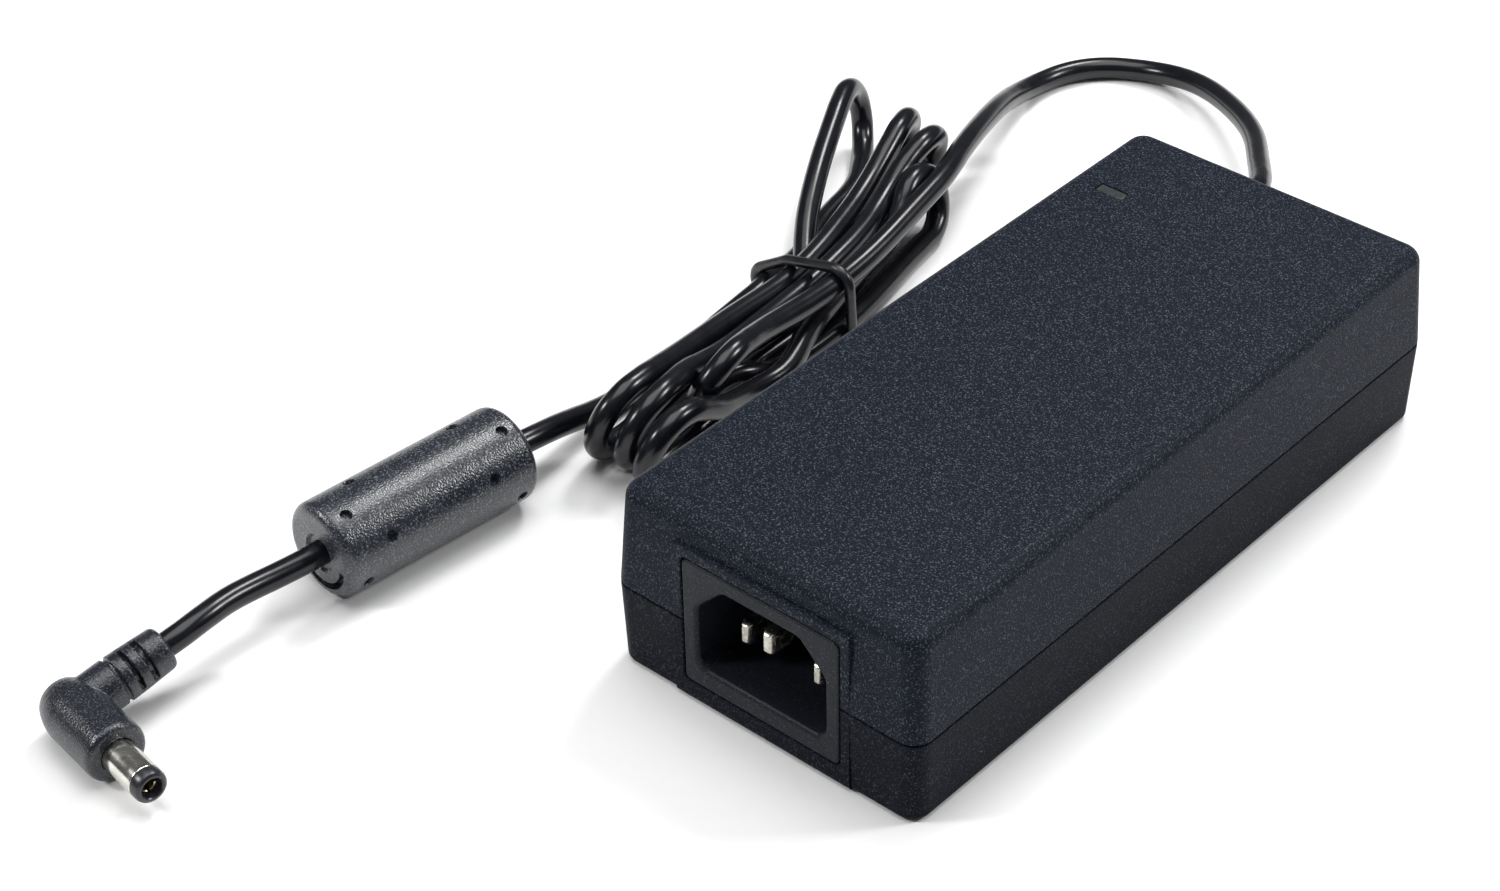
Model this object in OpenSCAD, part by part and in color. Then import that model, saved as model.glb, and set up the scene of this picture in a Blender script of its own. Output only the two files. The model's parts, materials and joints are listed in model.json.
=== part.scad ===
// Laptop power adapter: a two-shell casing with a mains inlet at one end, its
// circuit board inside, and a low-voltage cord that is folded into a tied hank,
// runs through a moulded ferrite and ends in a right-angle barrel plug.
// Millimetres. Z is up, Y runs from the inlet end to the cord end.
// The origin is on the base, under the middle of the casing.

/* [Casing] */
// Width of the casing at the parting line
case_w = 59; // [57:0.5:64]
// Length of the casing at the parting line
case_l = 131; // [129:0.5:140]
// Height of the closed casing
case_h = 33.4; // [33:0.1:36]
// Height of the parting line above the base
part_z = 15.1; // [14.9:0.1:15.3]
// Wall thickness of both shells
wall = 2.2; // [1.8:0.1:2.4]
// How far each side leans in from the parting line to the top
draft_top = 1.1; // [0.8:0.1:1.3]
// How far each side leans in from the parting line to the base
draft_base = 0.4; // [0.2:0.1:0.6]
// Radius of the upright corners
corner_r = 3.2; // [3:0.1:5]
// Radius round the edge of the top face
top_edge_r = 2.4; // [1.5:0.1:2.6]

/* [Mains inlet] */
// Width of the inlet's opening
mouth_w = 24.6; // [24:0.1:25]
// Height of the inlet's opening
mouth_h = 16.5; // [16:0.1:17]
// Height of the opening's centre above the base
mouth_z = 15.75; // [15.6:0.05:15.9]
// Depth of the opening
mouth_depth = 16.5; // [16:0.1:17]
// Distance between the line pin and the neutral pin
pin_pitch = 14; // [13.8:0.1:14.2]

/* [Cord] */
// Diameter of the low-voltage cord
cord_d = 4.1; // [3.9:0.1:4.2]
// Where the cord leaves the casing, across its width
exit_x = -17; // [-17.2:0.1:-16.8]
// Diameter of the moulded ferrite
ferrite_d = 16.4; // [16:0.1:17]
// Length of the moulded ferrite
ferrite_l = 38; // [37.8:0.1:38.2]

/* [Plug] */
// Outside diameter of the plug's barrel
barrel_d = 5.5; // [5.3:0.1:5.6]
// Diameter of the hole in the plug's tip
plug_bore_d = 2.1; // [2:0.1:2.3]
// Length of the barrel with its tip
barrel_l = 9.5; // [9:0.1:10]

/* [Hidden] */
$fn = 48;

thin = 0.01;              // height of the discs that a rounded form is stretched over
over = 1;                 // how far a cutter runs past the face it cuts
seam_gap = 0.3;           // width of the groove along the parting line
base_edge_r = 1.2;        // radius round the edge of the base
front_y = -case_l / 2;    // plane of the inlet's face
rear_y = case_l / 2;

// inlet and the raised surround that frames it
plate_w = 30;
plate_h = 23;
plate_z = 15.5;           // height of the face plate's centre
plate_gap = 0.25;         // clearance round the face plate
plate_t = 3;              // thickness of the face plate
surround_w = 34;
surround_top = 29.2;
mouth_chamfer = 5;
mouth_round = 2.2;
socket_wall = 1.6;
pin_back = front_y + mouth_depth + 6.2;   // end of the pins' solder tabs
blade_w = 2;
blade_h = 4;
blade_bevel = 0.7;
power_pin_z = 13.8;
earth_pin_z = 17.8;
power_pin_tip = front_y + 4.5;
earth_pin_tip = front_y + 1.5;

// indicator window
lens_x = -20;
lens_y = 45;
lens_w = 5.2;
lens_l = 2;

// circuit board
board_w = 50;
board_front = -45.5;
board_rear = 60.5;
board_base = 5;
board_t = 1.6;
board_top = board_base + board_t;
wire_r = 0.8;

// cord exit
relief_end = rear_y + 14;
relief_back = rear_y - 4.4;    // the relief's inner end
relief_hole_r = 4;

// hank
waist_y = 20;
waist_w = 21.5;
waist_x = -65;
waist_base = 1.2;
waist_top = 13.4;
tie_t = 1.2;
tie_w = 2;

// ferrite: its centre, and the turn of its axis from the Y axis
ferrite_at = [-72.7, -65.6, ferrite_d / 2];
ferrite_turn = -5.7;
sleeve_wall = 1.6;
bore_gap = 0.05;          // clearance between the moulding and the cord through it

// plug: where the neck's axis crosses the barrel's axis, the barrel's turn from the X axis,
// and how far the neck is rolled up from the table
plug_at = [-78.1, -130.6, 5];
plug_turn = -8.5;
plug_roll = 12;
plug_r = 5;
neck_l = 16.6;
barrel_from = 12.7;       // from the crossing point to the barrel's root
tip_l = 2;
barrel_t = 0.35;
barrel_root = 2;          // from the crossing point to the barrel's hidden end
root_r = barrel_d / 2 - 0.55;
contact_t = 0.4;

// points on the ferrite's axis and on the axis of the plug's neck
function ferrite_point(s) = ferrite_at + s * [-sin(ferrite_turn), cos(ferrite_turn), 0];
function neck_point(s) = plug_at
    + s * [-sin(plug_turn) * cos(plug_roll), cos(plug_turn) * cos(plug_roll), sin(plug_roll)];

// the cord's route, in millimetres: from the relief to the hank, from the hank to
// the ferrite, and from the ferrite to the plug
lead_route = [
    [exit_x, relief_end, part_z], [-17, 83, 15.1], [-18, 87, 14.8], [-20.5, 91, 14],
    [-25, 97, 12.6], [-30, 104, 11], [-37, 111, 9.2], [-45, 117, 7.2], [-54, 122, 5.2],
    [-63, 124, 3.4], [-71, 122, 2.4], [-78, 116, 2.1], [-81, 107, 2.2], [-80, 98, 3.6],
    [-77.5, 89, 6], [-75.2, 84, 8], [-75.8, 79.6, 8]
];
tail_route = [
    [-71, -36.5, 7.2], [-71, -39.8, 7.2],
    ferrite_point(ferrite_l / 2 + 3.4), ferrite_point(ferrite_l / 2)
];
end_route = [
    ferrite_point(-ferrite_l / 2), ferrite_point(-ferrite_l / 2 - 5), [-75.7, -96.5, 8.7],
    [-75.6, -103.3, 9.4], neck_point(neck_l + 4.6), neck_point(neck_l)
];

// ---------------------------------------------------------------- helpers

function unit(v) = v / norm(v);
function heading(p, i) = unit(p[min(i + 1, len(p) - 1)] - p[max(i - 1, 0)]);

// points of the ring round one point of a route; up is any way that the route never heads
function ring(p, i, r, sides, up) =
    let (along = heading(p, i))
    let (across = unit(cross(along, up)))
    let (upward = cross(across, along))
    [for (k = [0 : sides - 1]) p[i] + r * (cos((k + 0.5) * 360 / sides) * across
                                           + sin((k + 0.5) * 360 / sides) * upward)];

// a tube along a route, closed at both ends
module tube(p, r, sides = 8, up = [0, 0, 1]) {
    last = len(p) - 1;
    points = [for (i = [0 : last]) each ring(p, i, r, sides, up)];
    walls = [for (i = [0 : last - 1], k = [0 : sides - 1])
        [i * sides + k, i * sides + (k + 1) % sides,
         (i + 1) * sides + (k + 1) % sides, (i + 1) * sides + k]];
    caps = [[for (k = [sides - 1 : -1 : 0]) k], [for (k = [0 : sides - 1]) last * sides + k]];
    polyhedron(points = points, faces = concat(walls, caps));
}

// a flat outline in X and Z, made solid from y0 to y1
module along_y(y0, y1) {
    translate([0, y1, 0]) rotate([90, 0, 0]) linear_extrude(y1 - y0) children();
}

// a flat outline in Y and Z, made solid from x0 to x1
module along_x(x0, x1) {
    translate([x0, 0, 0]) rotate([90, 0, 90]) linear_extrude(x1 - x0) children();
}

module rounded_rect(w, h, r) {
    square([w - 2 * r, h], center = true);
    square([w, h - 2 * r], center = true);
    for (sx = [-1, 1], sy = [-1, 1])
        translate([sx * (w / 2 - r), sy * (h / 2 - r)]) circle(r);
}

module block(x0, x1, y0, y1, z0, z1) {
    translate([x0, y0, z0]) cube([x1 - x0, y1 - y0, z1 - z0]);
}

// ---------------------------------------------------------------- casing

// four discs at the corners of a w by l rectangle
module corner_discs(w, l, r, z) {
    for (sx = [-1, 1], sy = [-1, 1])
        translate([sx * (w / 2 - r), sy * (l / 2 - r), z]) cylinder(r = r, h = thin, $fn = 32);
}

// the closed form of one shell, from the parting line at z0 to its outer face at z1,
// leaning in by draft and with an edge of radius edge_r; inset makes the hollow inside
module shell_form(z0, z1, draft, edge_r, inset) {
    way = sign(z1 - z0);
    r0 = corner_r - inset * 0.6;
    hull() {
        corner_discs(case_w - 2 * inset, case_l - 2 * inset, r0, z0 - (way > 0 ? 0 : thin));
        for (a = [0 : 15 : 90]) {
            lean = draft + edge_r * (1 - cos(a));
            z = z1 - way * edge_r * (1 - sin(a));
            corner_discs(case_w - 2 * (inset + lean), case_l - 2 * (inset + lean),
                         max(r0 - edge_r * (1 - cos(a)), 0.3), z - (way > 0 ? thin : 0));
        }
    }
}

// the raised frame round the inlet, in front of the leaning front wall
module surround(z0, z1) {
    along_y(front_y, front_y + 2)
        polygon([[-surround_w / 2, z0], [surround_w / 2, z0], [surround_w / 2, z1 - 0.6],
                 [surround_w / 2 - 0.6, z1], [-surround_w / 2 + 0.6, z1], [-surround_w / 2, z1 - 0.6]]);
}

// everything that the two shells are cut away for
module shell_cuts() {
    along_y(front_y - over, front_y + 4.5)
        translate([0, plate_z]) rounded_rect(plate_w + 2 * plate_gap, plate_h + 2 * plate_gap, 1.2);
    translate([exit_x, rear_y - 4.5, part_z]) rotate([-90, 0, 0]) cylinder(r = relief_hole_r, h = 6);
}

// the lip that the top shell tucks inside the bottom shell's rim
module lip(clear) {
    difference() {
        linear_extrude(1.9)
            rounded_rect(case_w - 2.4 + 2 * clear, case_l - 2.4 + 2 * clear, corner_r - 1);
        translate([0, 0, -over]) linear_extrude(4)
            rounded_rect(case_w - 4.4 - 2 * clear, case_l - 4.4 - 2 * clear, corner_r - 1.8);
    }
}

module top_shell() {
    color("#23272e") difference() {
        union() {
            difference() {
                union() {
                    shell_form(part_z + seam_gap / 2, case_h, draft_top, top_edge_r, 0);
                    surround(part_z + seam_gap / 2, surround_top);
                }
                shell_form(part_z - over, case_h - wall, draft_top, top_edge_r - 1, wall);
            }
            translate([0, 0, part_z - 1.4]) lip(0);
        }
        shell_cuts();
        block(lens_x - lens_w / 2 - 0.1, lens_x + lens_w / 2 + 0.1,
              lens_y - lens_l / 2 - 0.1, lens_y + lens_l / 2 + 0.1, case_h - wall - over, case_h + over);
    }
}

module bottom_shell() {
    color("#1c1f25") difference() {
        union() {
            difference() {
                union() {
                    shell_form(part_z - seam_gap / 2, 0, draft_base, base_edge_r, 0);
                    surround(0, part_z - seam_gap / 2);
                }
                shell_form(part_z + over, wall, draft_base, base_edge_r, wall);
            }
            for (sx = [-1, 1], y = [-42.5, 58])
                translate([sx * 22, y, wall - 0.2]) cylinder(r = 2.4, h = board_base - wall + 0.2);
        }
        shell_cuts();
        translate([0, 0, part_z - 1.6]) lip(0.12);
        translate([0, 0, -over]) linear_extrude(over + 0.4) rounded_rect(44.4, 80.4, 2.2);
    }
}

module rating_label() {
    color("#3a3d42") translate([0, 0, 0.15]) linear_extrude(0.25) rounded_rect(44, 80, 2);
}

module led_lens() {
    color("#c9ccc4") union() {
        block(lens_x - lens_w / 2, lens_x + lens_w / 2, lens_y - lens_l / 2, lens_y + lens_l / 2,
              case_h - wall - 0.5, case_h - 0.15);
        block(lens_x - lens_w / 2 - 1, lens_x + lens_w / 2 + 1, lens_y - lens_l / 2 - 1,
              lens_y + lens_l / 2 + 1, case_h - wall - 1.2, case_h - wall - 0.05);
        translate([lens_x, lens_y, case_h - wall - 5]) cylinder(r = 1.4, h = 4.2);
    }
}

// ---------------------------------------------------------------- mains inlet

module mouth(grow) {
    w = mouth_w + 2 * grow;
    h = mouth_h + 2 * grow;
    translate([0, mouth_z]) {
        polygon([[-w / 2, mouth_round - h / 2], [w / 2, mouth_round - h / 2], [w / 2, h / 2 - mouth_chamfer],
                 [w / 2 - mouth_chamfer, h / 2], [mouth_chamfer - w / 2, h / 2],
                 [-w / 2, h / 2 - mouth_chamfer]]);
        translate([mouth_round - w / 2, -h / 2]) square([w - 2 * mouth_round, mouth_round + 0.1]);
        for (s = [-1, 1])
            translate([s * (w / 2 - mouth_round), mouth_round - h / 2]) circle(mouth_round);
    }
}

// a contact blade: tip_y is its free end, x and z its middle
module blade_space(x, z, tip_y, back_y, w, h) {
    block(x - w / 2, x + w / 2, tip_y, back_y, z - h / 2, z + h / 2);
}

module blade(x, z, tip_y) {
    intersection() {
        along_x(x - blade_w / 2, x + blade_w / 2)
            polygon([[tip_y, z - blade_h / 2 + blade_bevel], [tip_y + blade_bevel * 1.4, z - blade_h / 2],
                     [pin_back, z - blade_h / 2], [pin_back, z + blade_h / 2],
                     [tip_y + blade_bevel * 1.4, z + blade_h / 2], [tip_y, z + blade_h / 2 - blade_bevel]]);
        translate([0, 0, z - blade_h]) linear_extrude(2 * blade_h)
            polygon([[x - 0.45, tip_y], [x + 0.45, tip_y], [x + blade_w / 2, tip_y + 1.1],
                     [x + blade_w / 2, pin_back], [x - blade_w / 2, pin_back],
                     [x - blade_w / 2, tip_y + 1.1]]);
    }
}

module inlet_housing() {
    color("#1f2228") difference() {
        union() {
            along_y(front_y, front_y + plate_t)
                translate([0, plate_z]) rounded_rect(plate_w, plate_h, 1);
            along_y(front_y + plate_t - 0.5, front_y + mouth_depth + 2)
                translate([0, mouth_z])
                    rounded_rect(mouth_w + 2 * socket_wall, mouth_h + 2 * socket_wall, 2);
            along_y(front_y + 3.1, front_y + 4.6)
                translate([0, plate_z]) rounded_rect(plate_w + 3, plate_h - 1, 1);
        }
        along_y(front_y - over, front_y + mouth_depth) mouth(0);
        hull() {
            along_y(front_y - 0.1, front_y) mouth(0.7);
            along_y(front_y + 0.7, front_y + 0.8) mouth(0);
        }
        for (s = [-1, 1])
            blade_space(s * pin_pitch / 2, power_pin_z, front_y, rear_y, blade_w, blade_h);
        blade_space(0, earth_pin_z, front_y, rear_y, blade_w, blade_h);
    }
}

module line_pin() {
    color("#c8c6bd") blade(-pin_pitch / 2, power_pin_z, power_pin_tip);
}

module neutral_pin() {
    color("#c8c6bd") blade(pin_pitch / 2, power_pin_z, power_pin_tip);
}

module earth_pin() {
    color("#c8c6bd") blade(0, earth_pin_z, earth_pin_tip);
}

// ---------------------------------------------------------------- circuit board

module circuit_board() {
    color("#2f6b3c") block(-board_w / 2, board_w / 2, board_front, board_rear, board_base, board_top);
}

module insulating_sheet() {
    color("#e8e4d0") along_y(-39, 54)
        polygon([[-26.3, 3.6], [-26.3, 13], [-25.8, 13], [-25.8, 4.1],
                 [25.8, 4.1], [25.8, 13], [26.3, 13], [26.3, 3.6]]);
}

module fuse() {
    color("#6b4a2f") translate([18, -39, board_top]) cylinder(r = 4.2, h = 7.6);
}

module surge_disc() {
    color("#2f6fa8") translate([6, -36.2, board_top + 6.4]) rotate([0, 90, 0]) cylinder(r = 5.6, h = 4.2);
}

module x_capacitor() {
    color("#d8b840") block(-21, -3, -42, -34, board_top, board_top + 13.5);
}

module y_capacitor() {
    color("#3f78b5") translate([-13, 9, board_top + 4.6]) rotate([90, 0, 0]) cylinder(r = 4.2, h = 3.2);
}

// a ring-shaped choke core standing on its rim, its axis along Y
module mains_choke_core() {
    color("#33363a") translate([-11, -26, board_top + 11.6]) rotate([-90, 0, 0]) difference() {
        cylinder(r = 9.4, h = 7.4);
        translate([0, 0, -over]) cylinder(r = 5.2, h = 10);
    }
}

// the wire layer that wraps the ring's section, over part of the ring's turn
module winding_arc(turn, sweep, r0, r1, h, t) {
    rotate([0, 0, turn]) rotate_extrude(angle = sweep) difference() {
        translate([r0 - t, -t]) square([r1 - r0 + 2 * t, h + 2 * t]);
        translate([r0, 0]) square([r1 - r0, h]);
    }
}

module mains_choke_winding() {
    color("#b5642c") translate([-11, -26, board_top + 11.6]) rotate([-90, 0, 0]) {
        winding_arc(-70, 140, 5.2, 9.4, 7.4, 1.2);
        winding_arc(110, 140, 5.2, 9.4, 7.4, 1.2);
    }
}

module bridge_rectifier() {
    color("#202226") union() {
        block(4, 24, -30, -26, board_top + 3, board_top + 17);
        for (i = [0 : 3])
            block(5.5 + 5.2 * i, 6.7 + 5.2 * i, -28.4, -27.6, board_top, board_top + 3.1);
    }
}

module bulk_capacitor() {
    color("#26365c") translate([13.5, -22, board_top + 10.8]) rotate([-90, 0, 0])
        rotate_extrude() polygon([[0, 0], [9.6, 0], [10.5, 0.9], [10.5, 2.6], [10, 3.2],
                                  [10.5, 3.8], [10.5, 34.2], [9.6, 35], [0, 35]]);
}

module primary_heatsink() {
    color("#b9bcc0") difference() {
        union() {
            block(-24.2, -22.6, -14, 24, board_top, board_top + 21);
            block(-24.2, -16, -14, 24, board_top + 19.6, board_top + 21);
        }
        translate([-25, 5, board_top + 14.5]) rotate([0, 90, 0]) cylinder(r = 1.6, h = 4);
    }
}

// a flat power package with three legs; its mounting face is at x = 0
module power_package() {
    difference() {
        union() {
            block(0, 4.4, -5, 5, 4, 13);
            block(0, 1.3, -5, 5, 12.8, 18);
        }
        translate([-over, 0, 14.5]) rotate([0, 90, 0]) cylinder(r = 1.6, h = 8);
    }
    for (y = [-2.54, 0, 2.54])
        block(1.6, 2.2, y - 0.4, y + 0.4, 0, 4.1);
}

module switching_transistor() {
    color("#1e2023") translate([-22.6, 5, board_top]) power_package();
}

module transformer_core() {
    color("#3c3f43") translate([3, 33, board_top + 11.8]) difference() {
        block(-14, 14, -13, 13, -5.5, 5.5);
        for (s = [-1, 1])
            block(s * 7.5 - 3, s * 7.5 + 3, -9, 9, -8, 8);
    }
}

module transformer_winding() {
    color("#d9b23a") translate([3, 33, board_top + 11.8]) along_y(-8.8, 8.8) difference() {
        rounded_rect(20.6, 22, 3);
        square([9.2, 11.2], center = true);
    }
}

module secondary_heatsink() {
    color("#b9bcc0") difference() {
        block(22.6, 24.2, 18, 56, board_top, board_top + 21);
        translate([21, 50, board_top + 14.5]) rotate([0, 90, 0]) cylinder(r = 1.6, h = 4);
    }
}

module output_rectifier() {
    color("#1e2023") translate([22.6, 50, board_top]) mirror([1, 0, 0]) power_package();
}

// a screw along +X: the head's seat is at x = 0
module screw() {
    rotate([0, -90, 0]) difference() {
        union() {
            cylinder(r = 2.7, h = 1.9);
            translate([0, 0, -3.4]) cylinder(r = 1.5, h = 3.5);
        }
        translate([0, 0, 0.9]) cylinder(r = 1.3, h = 2, $fn = 6);
    }
}

module heatsink_screws() {
    color("#9fa2a6") {
        translate([-21.3, 5, board_top + 14.5]) mirror([1, 0, 0]) screw();
        translate([21.3, 50, board_top + 14.5]) screw();
    }
}

module output_capacitors() {
    color("#2a3550") for (x = [3, 13.1])
        translate([x, 53, board_top]) rotate_extrude()
            polygon([[0, 0], [4.7, 0], [5, 0.4], [5, 1.6], [4.7, 2], [5, 2.4], [5, 19.6], [4.6, 20], [0, 20]]);
}

module output_choke_core() {
    color("#6f7a42") translate([-9, 52, board_top + 1.1]) difference() {
        cylinder(r = 5.8, h = 5);
        translate([0, 0, -over]) cylinder(r = 3, h = 8);
    }
}

module output_choke_winding() {
    color("#b5642c") translate([-9, 52, board_top + 1.1])
        winding_arc(20, 320, 3, 5.8, 5, 1);
}

module optocoupler() {
    color("#e6e3da") block(-12.5, -8, 14, 20.5, board_top, board_top + 3.6);
}

module control_chip() {
    color("#1e2023") block(-15, -11, -6, -1, board_top, board_top + 1.6);
}

module indicator_led() {
    color("#8fd18a") translate([lens_x, lens_y, 0]) {
        translate([0, 0, 19.5]) cylinder(r = 1.5, h = 4.2);
        for (s = [-1, 1])
            translate([s * 1.1, 0, board_top]) cylinder(r = 0.3, h = 13.1);
    }
}

module inner_wire(p, up) {
    tube(p, wire_r, 6, up);
}

module line_wire() {
    color("#6b3d22") inner_wire([[-7, -44.4, 11.8], [-7, -44.4, 10.4], [-8, -44.4, 8.8], [-9.4, -44.4, 7.9],
                                 [-10.6, -44.4, 7.3], [-11.2, -44.4, board_top]], [0, 1, 0]);
}

module neutral_wire() {
    color("#2f6fa8") inner_wire([[7, -44.4, 11.8], [7, -44.4, 10.4], [8, -44.4, 8.8], [9.4, -44.4, 7.9],
                                 [10.6, -44.4, 7.3], [11.2, -44.4, board_top]], [0, 1, 0]);
}

module earth_wire() {
    color("#5d9a3a") inner_wire([[0, -44.4, 15.8], [0, -44.4, 13.6], [0.3, -44.4, 11.2],
                                 [0.9, -44.4, 9], [1.2, -44.4, board_top]], [0, 1, 0]);
}

// a wire from the board up to the relief, straight along the casing
module output_wire(x) {
    inner_wire([[x, 56, board_top], [x, 56.1, 9], [x, 56.7, 11.4], [x, 57.9, 13.4], [x, 59.3, 14.7],
                [x, 60.2, part_z], [x, relief_back, part_z]], [1, 0, 0]);
}

module positive_wire() {
    color("#b03030") output_wire(exit_x - 1.1);
}

module ground_wire() {
    color("#24262a") output_wire(exit_x + 1.1);
}

// ---------------------------------------------------------------- cord

// the relief: a flange each side of the wall, then ribs that thin towards its end
module strain_relief() {
    reach = relief_end - relief_back;
    color("#1a1c20") translate([exit_x, relief_back, part_z]) rotate([-90, 0, 0])
        rotate_extrude() polygon(concat(
            [[0, 0], [5.2, 0], [5.2, 1.5], [3.9, 1.5], [3.9, 4.5], [5, 4.5], [5, 5.7], [4.3, 6.1]],
            [for (i = [0 : 3]) each let (at = 7 + 2.6 * i, r = 4.1 - 0.32 * i)
                [[r, at], [r - 0.8, at + 0.1], [r - 0.8, at + 1], [r - 0.1, at + 1.1]]],
            [[2.8, reach - 0.5], [2.4, reach], [0, reach]]));
}

module cord_lead() {
    color("#17181c") tube(lead_route, cord_d / 2);
}

module post(x, y, r, h) {
    translate([x, y, 0]) cylinder(r = r, h = h, $fn = 32);
}

// the space that the folded cord fills: two wide ends and a waist that the tie holds
module cord_hank() {
    color("#1b1c20") union() {
        hull() {
            post(-71, -30.5, 6, 17);
            post(-53.5, -30.5, 6, 17);
            post(-68, 8, 6, 16);
            post(-61, 8, 6, 16);
        }
        translate([waist_x, 0, (waist_base + waist_top) / 2]) along_y(4, 36)
            rounded_rect(waist_w, waist_top - waist_base, 5);
        hull() {
            post(-68, 36, 10, 16);
            post(-65, 36, 10, 16);
            post(-97, 71, 9, 17);
            post(-66, 68, 9, 17);
        }
    }
}

module cable_tie() {
    color("#15161a") translate([waist_x, 0, (waist_base + waist_top) / 2])
        along_y(waist_y - tie_w / 2, waist_y + tie_w / 2) difference() {
            rounded_rect(waist_w + 2 * tie_t, waist_top - waist_base + 2 * tie_t, 5 + tie_t);
            rounded_rect(waist_w, waist_top - waist_base, 5);
        }
}

module cord_tail() {
    color("#17181c") tube(tail_route, cord_d / 2);
}

module cord_end() {
    color("#17181c") tube(end_route, cord_d / 2);
}

// puts its children at the ferrite's middle, with the axis along Z towards the hank
module at_ferrite() {
    translate(ferrite_at) rotate([0, 0, ferrite_turn]) rotate([-90, 0, 0]) children();
}

module sleeve_pins() {
    for (end = [-1, 1], i = [0 : 7])
        rotate([0, 0, 45 * i + 24])
            translate([0, 0, end * (ferrite_l / 2 - (i % 2 == 0 ? 3.6 : 8.8))])
                rotate([0, 90, 0]) translate([0, 0, ferrite_d / 2 - 1.1]) cylinder(r = 0.95, h = 3);
}

// the moulding round the ferrite: a turned outline with a hollow for the core
module ferrite_sleeve() {
    half = ferrite_l / 2;
    r = ferrite_d / 2;
    color("#24262b") at_ferrite() difference() {
        rotate_extrude($fn = 72) difference() {
            union() {
                translate([cord_d / 2 + bore_gap, -half]) square([r - 1.8 - cord_d / 2 - bore_gap, 2 * half]);
                translate([cord_d / 2 + bore_gap, 1.8 - half])
                    square([r - cord_d / 2 - bore_gap, 2 * half - 3.6]);
                for (s = [-1, 1])
                    translate([r - 1.8, s * (half - 1.8)]) circle(1.8);
            }
            translate([0, -half + 4]) square([r - sleeve_wall, 2 * half - 8]);
        }
        sleeve_pins();
        // the curved groove in the plug end's face
        translate([0, 0, -half - over]) rotate([0, 0, 240]) rotate_extrude(angle = 145)
            translate([5.2, 0]) square([1.1, 1.6 + over]);
    }
}

module ferrite_core() {
    half = ferrite_l / 2 - 4.2;
    color("#3a3c40") at_ferrite() translate([0, 0, -half]) difference() {
        cylinder(r = ferrite_d / 2 - sleeve_wall - 0.2, h = 2 * half);
        translate([0, 0, -over]) cylinder(r = cord_d / 2 + 0.4, h = 2 * half + 2 * over);
    }
}

module cord_mid() {
    color("#17181c") at_ferrite() translate([0, 0, -ferrite_l / 2]) cylinder(r = cord_d / 2, h = ferrite_l);
}

// ---------------------------------------------------------------- plug

// puts its children at the plug's crossing point: X along the barrel, Y along the neck
module at_plug() {
    translate(plug_at) rotate([0, 0, plug_turn]) rotate([plug_roll, 0, 0]) children();
}

module plug_body() {
    neck_steps = [[7.2, 3.9], [8, 3.3], [9.7, 3.75], [10.5, 3], [12, 3.6], [13.1, 2.8], [15.4, 3.45]];
    color("#1d1f24") at_plug() difference() {
        union() {
            rotate([0, 90, 0]) rotate_extrude()
                polygon([[0, -4.4], [2.6, -4.4], [3.6, -3.7], [4.5, -1.4], [plug_r, 0.6],
                         [plug_r, barrel_from - 0.9], [4.3, barrel_from], [0, barrel_from]]);
            rotate([-90, 0, 0]) rotate_extrude()
                polygon(concat([[0, 0]],
                    [[4, 0], [4, 5.6]],
                    [for (s = neck_steps) each [[s[1] + 0.1, s[0] - 0.1], [s[1], s[0]]]],
                    [[3.4, neck_l - 0.6], [2.6, neck_l], [0, neck_l]]));
        }
        rotate([0, 90, 0]) translate([0, 0, barrel_root]) cylinder(r = root_r, h = 20);
    }
}

// the barrel: its root, inside the moulding, is thinner than its outside
module plug_barrel() {
    color("#cfcdc6") at_plug() rotate([0, 90, 0]) rotate_extrude()
        polygon([[root_r - barrel_t, barrel_root], [root_r, barrel_root],
                 [root_r, barrel_from + 0.3], [barrel_d / 2, barrel_from + 0.3],
                 [barrel_d / 2, barrel_from + barrel_l - tip_l],
                 [barrel_d / 2 - barrel_t, barrel_from + barrel_l - tip_l],
                 [barrel_d / 2 - barrel_t, barrel_from + 0.7], [root_r - barrel_t, barrel_from + 0.7]]);
}

// the sleeve between the barrel and the contact, with the ring that shows at the tip
module plug_insulator() {
    tip = barrel_from + barrel_l;
    inner = plug_bore_d / 2 + contact_t;
    ring_r = barrel_d / 2;
    color("#15161a") at_plug() rotate([0, 90, 0]) rotate_extrude()
        polygon([[inner, barrel_root], [root_r - barrel_t, barrel_root], [root_r - barrel_t, barrel_from + 0.7],
                 [barrel_d / 2 - barrel_t, barrel_from + 0.7], [barrel_d / 2 - barrel_t, tip - tip_l],
                 [ring_r, tip - tip_l], [ring_r, tip - 0.6],
                 [ring_r - 0.6, tip], [inner + 0.2, tip], [inner, tip - 0.3]]);
}

module plug_contact() {
    color("#c9b26a") at_plug() rotate([0, 90, 0]) translate([0, 0, barrel_root]) difference() {
        cylinder(r = plug_bore_d / 2 + contact_t, h = barrel_from + barrel_l - 2.8);
        translate([0, 0, 2]) cylinder(r = plug_bore_d / 2, h = 40);
    }
}

top_shell();
bottom_shell();
led_lens();
rating_label();
inlet_housing();
line_pin();
neutral_pin();
earth_pin();
circuit_board();
insulating_sheet();
fuse();
surge_disc();
x_capacitor();
y_capacitor();
mains_choke_core();
mains_choke_winding();
bridge_rectifier();
bulk_capacitor();
primary_heatsink();
switching_transistor();
transformer_core();
transformer_winding();
secondary_heatsink();
output_rectifier();
heatsink_screws();
output_capacitors();
output_choke_core();
output_choke_winding();
optocoupler();
control_chip();
indicator_led();
line_wire();
neutral_wire();
earth_wire();
positive_wire();
ground_wire();
strain_relief();
cord_lead();
cord_hank();
cable_tie();
cord_tail();
ferrite_sleeve();
ferrite_core();
cord_mid();
cord_end();
plug_body();
plug_barrel();
plug_insulator();
plug_contact();
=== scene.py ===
import json
from math import cos, pi, radians, sin, sqrt

import bmesh
import bpy
import numpy as np
from mathutils import Matrix, Vector

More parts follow.
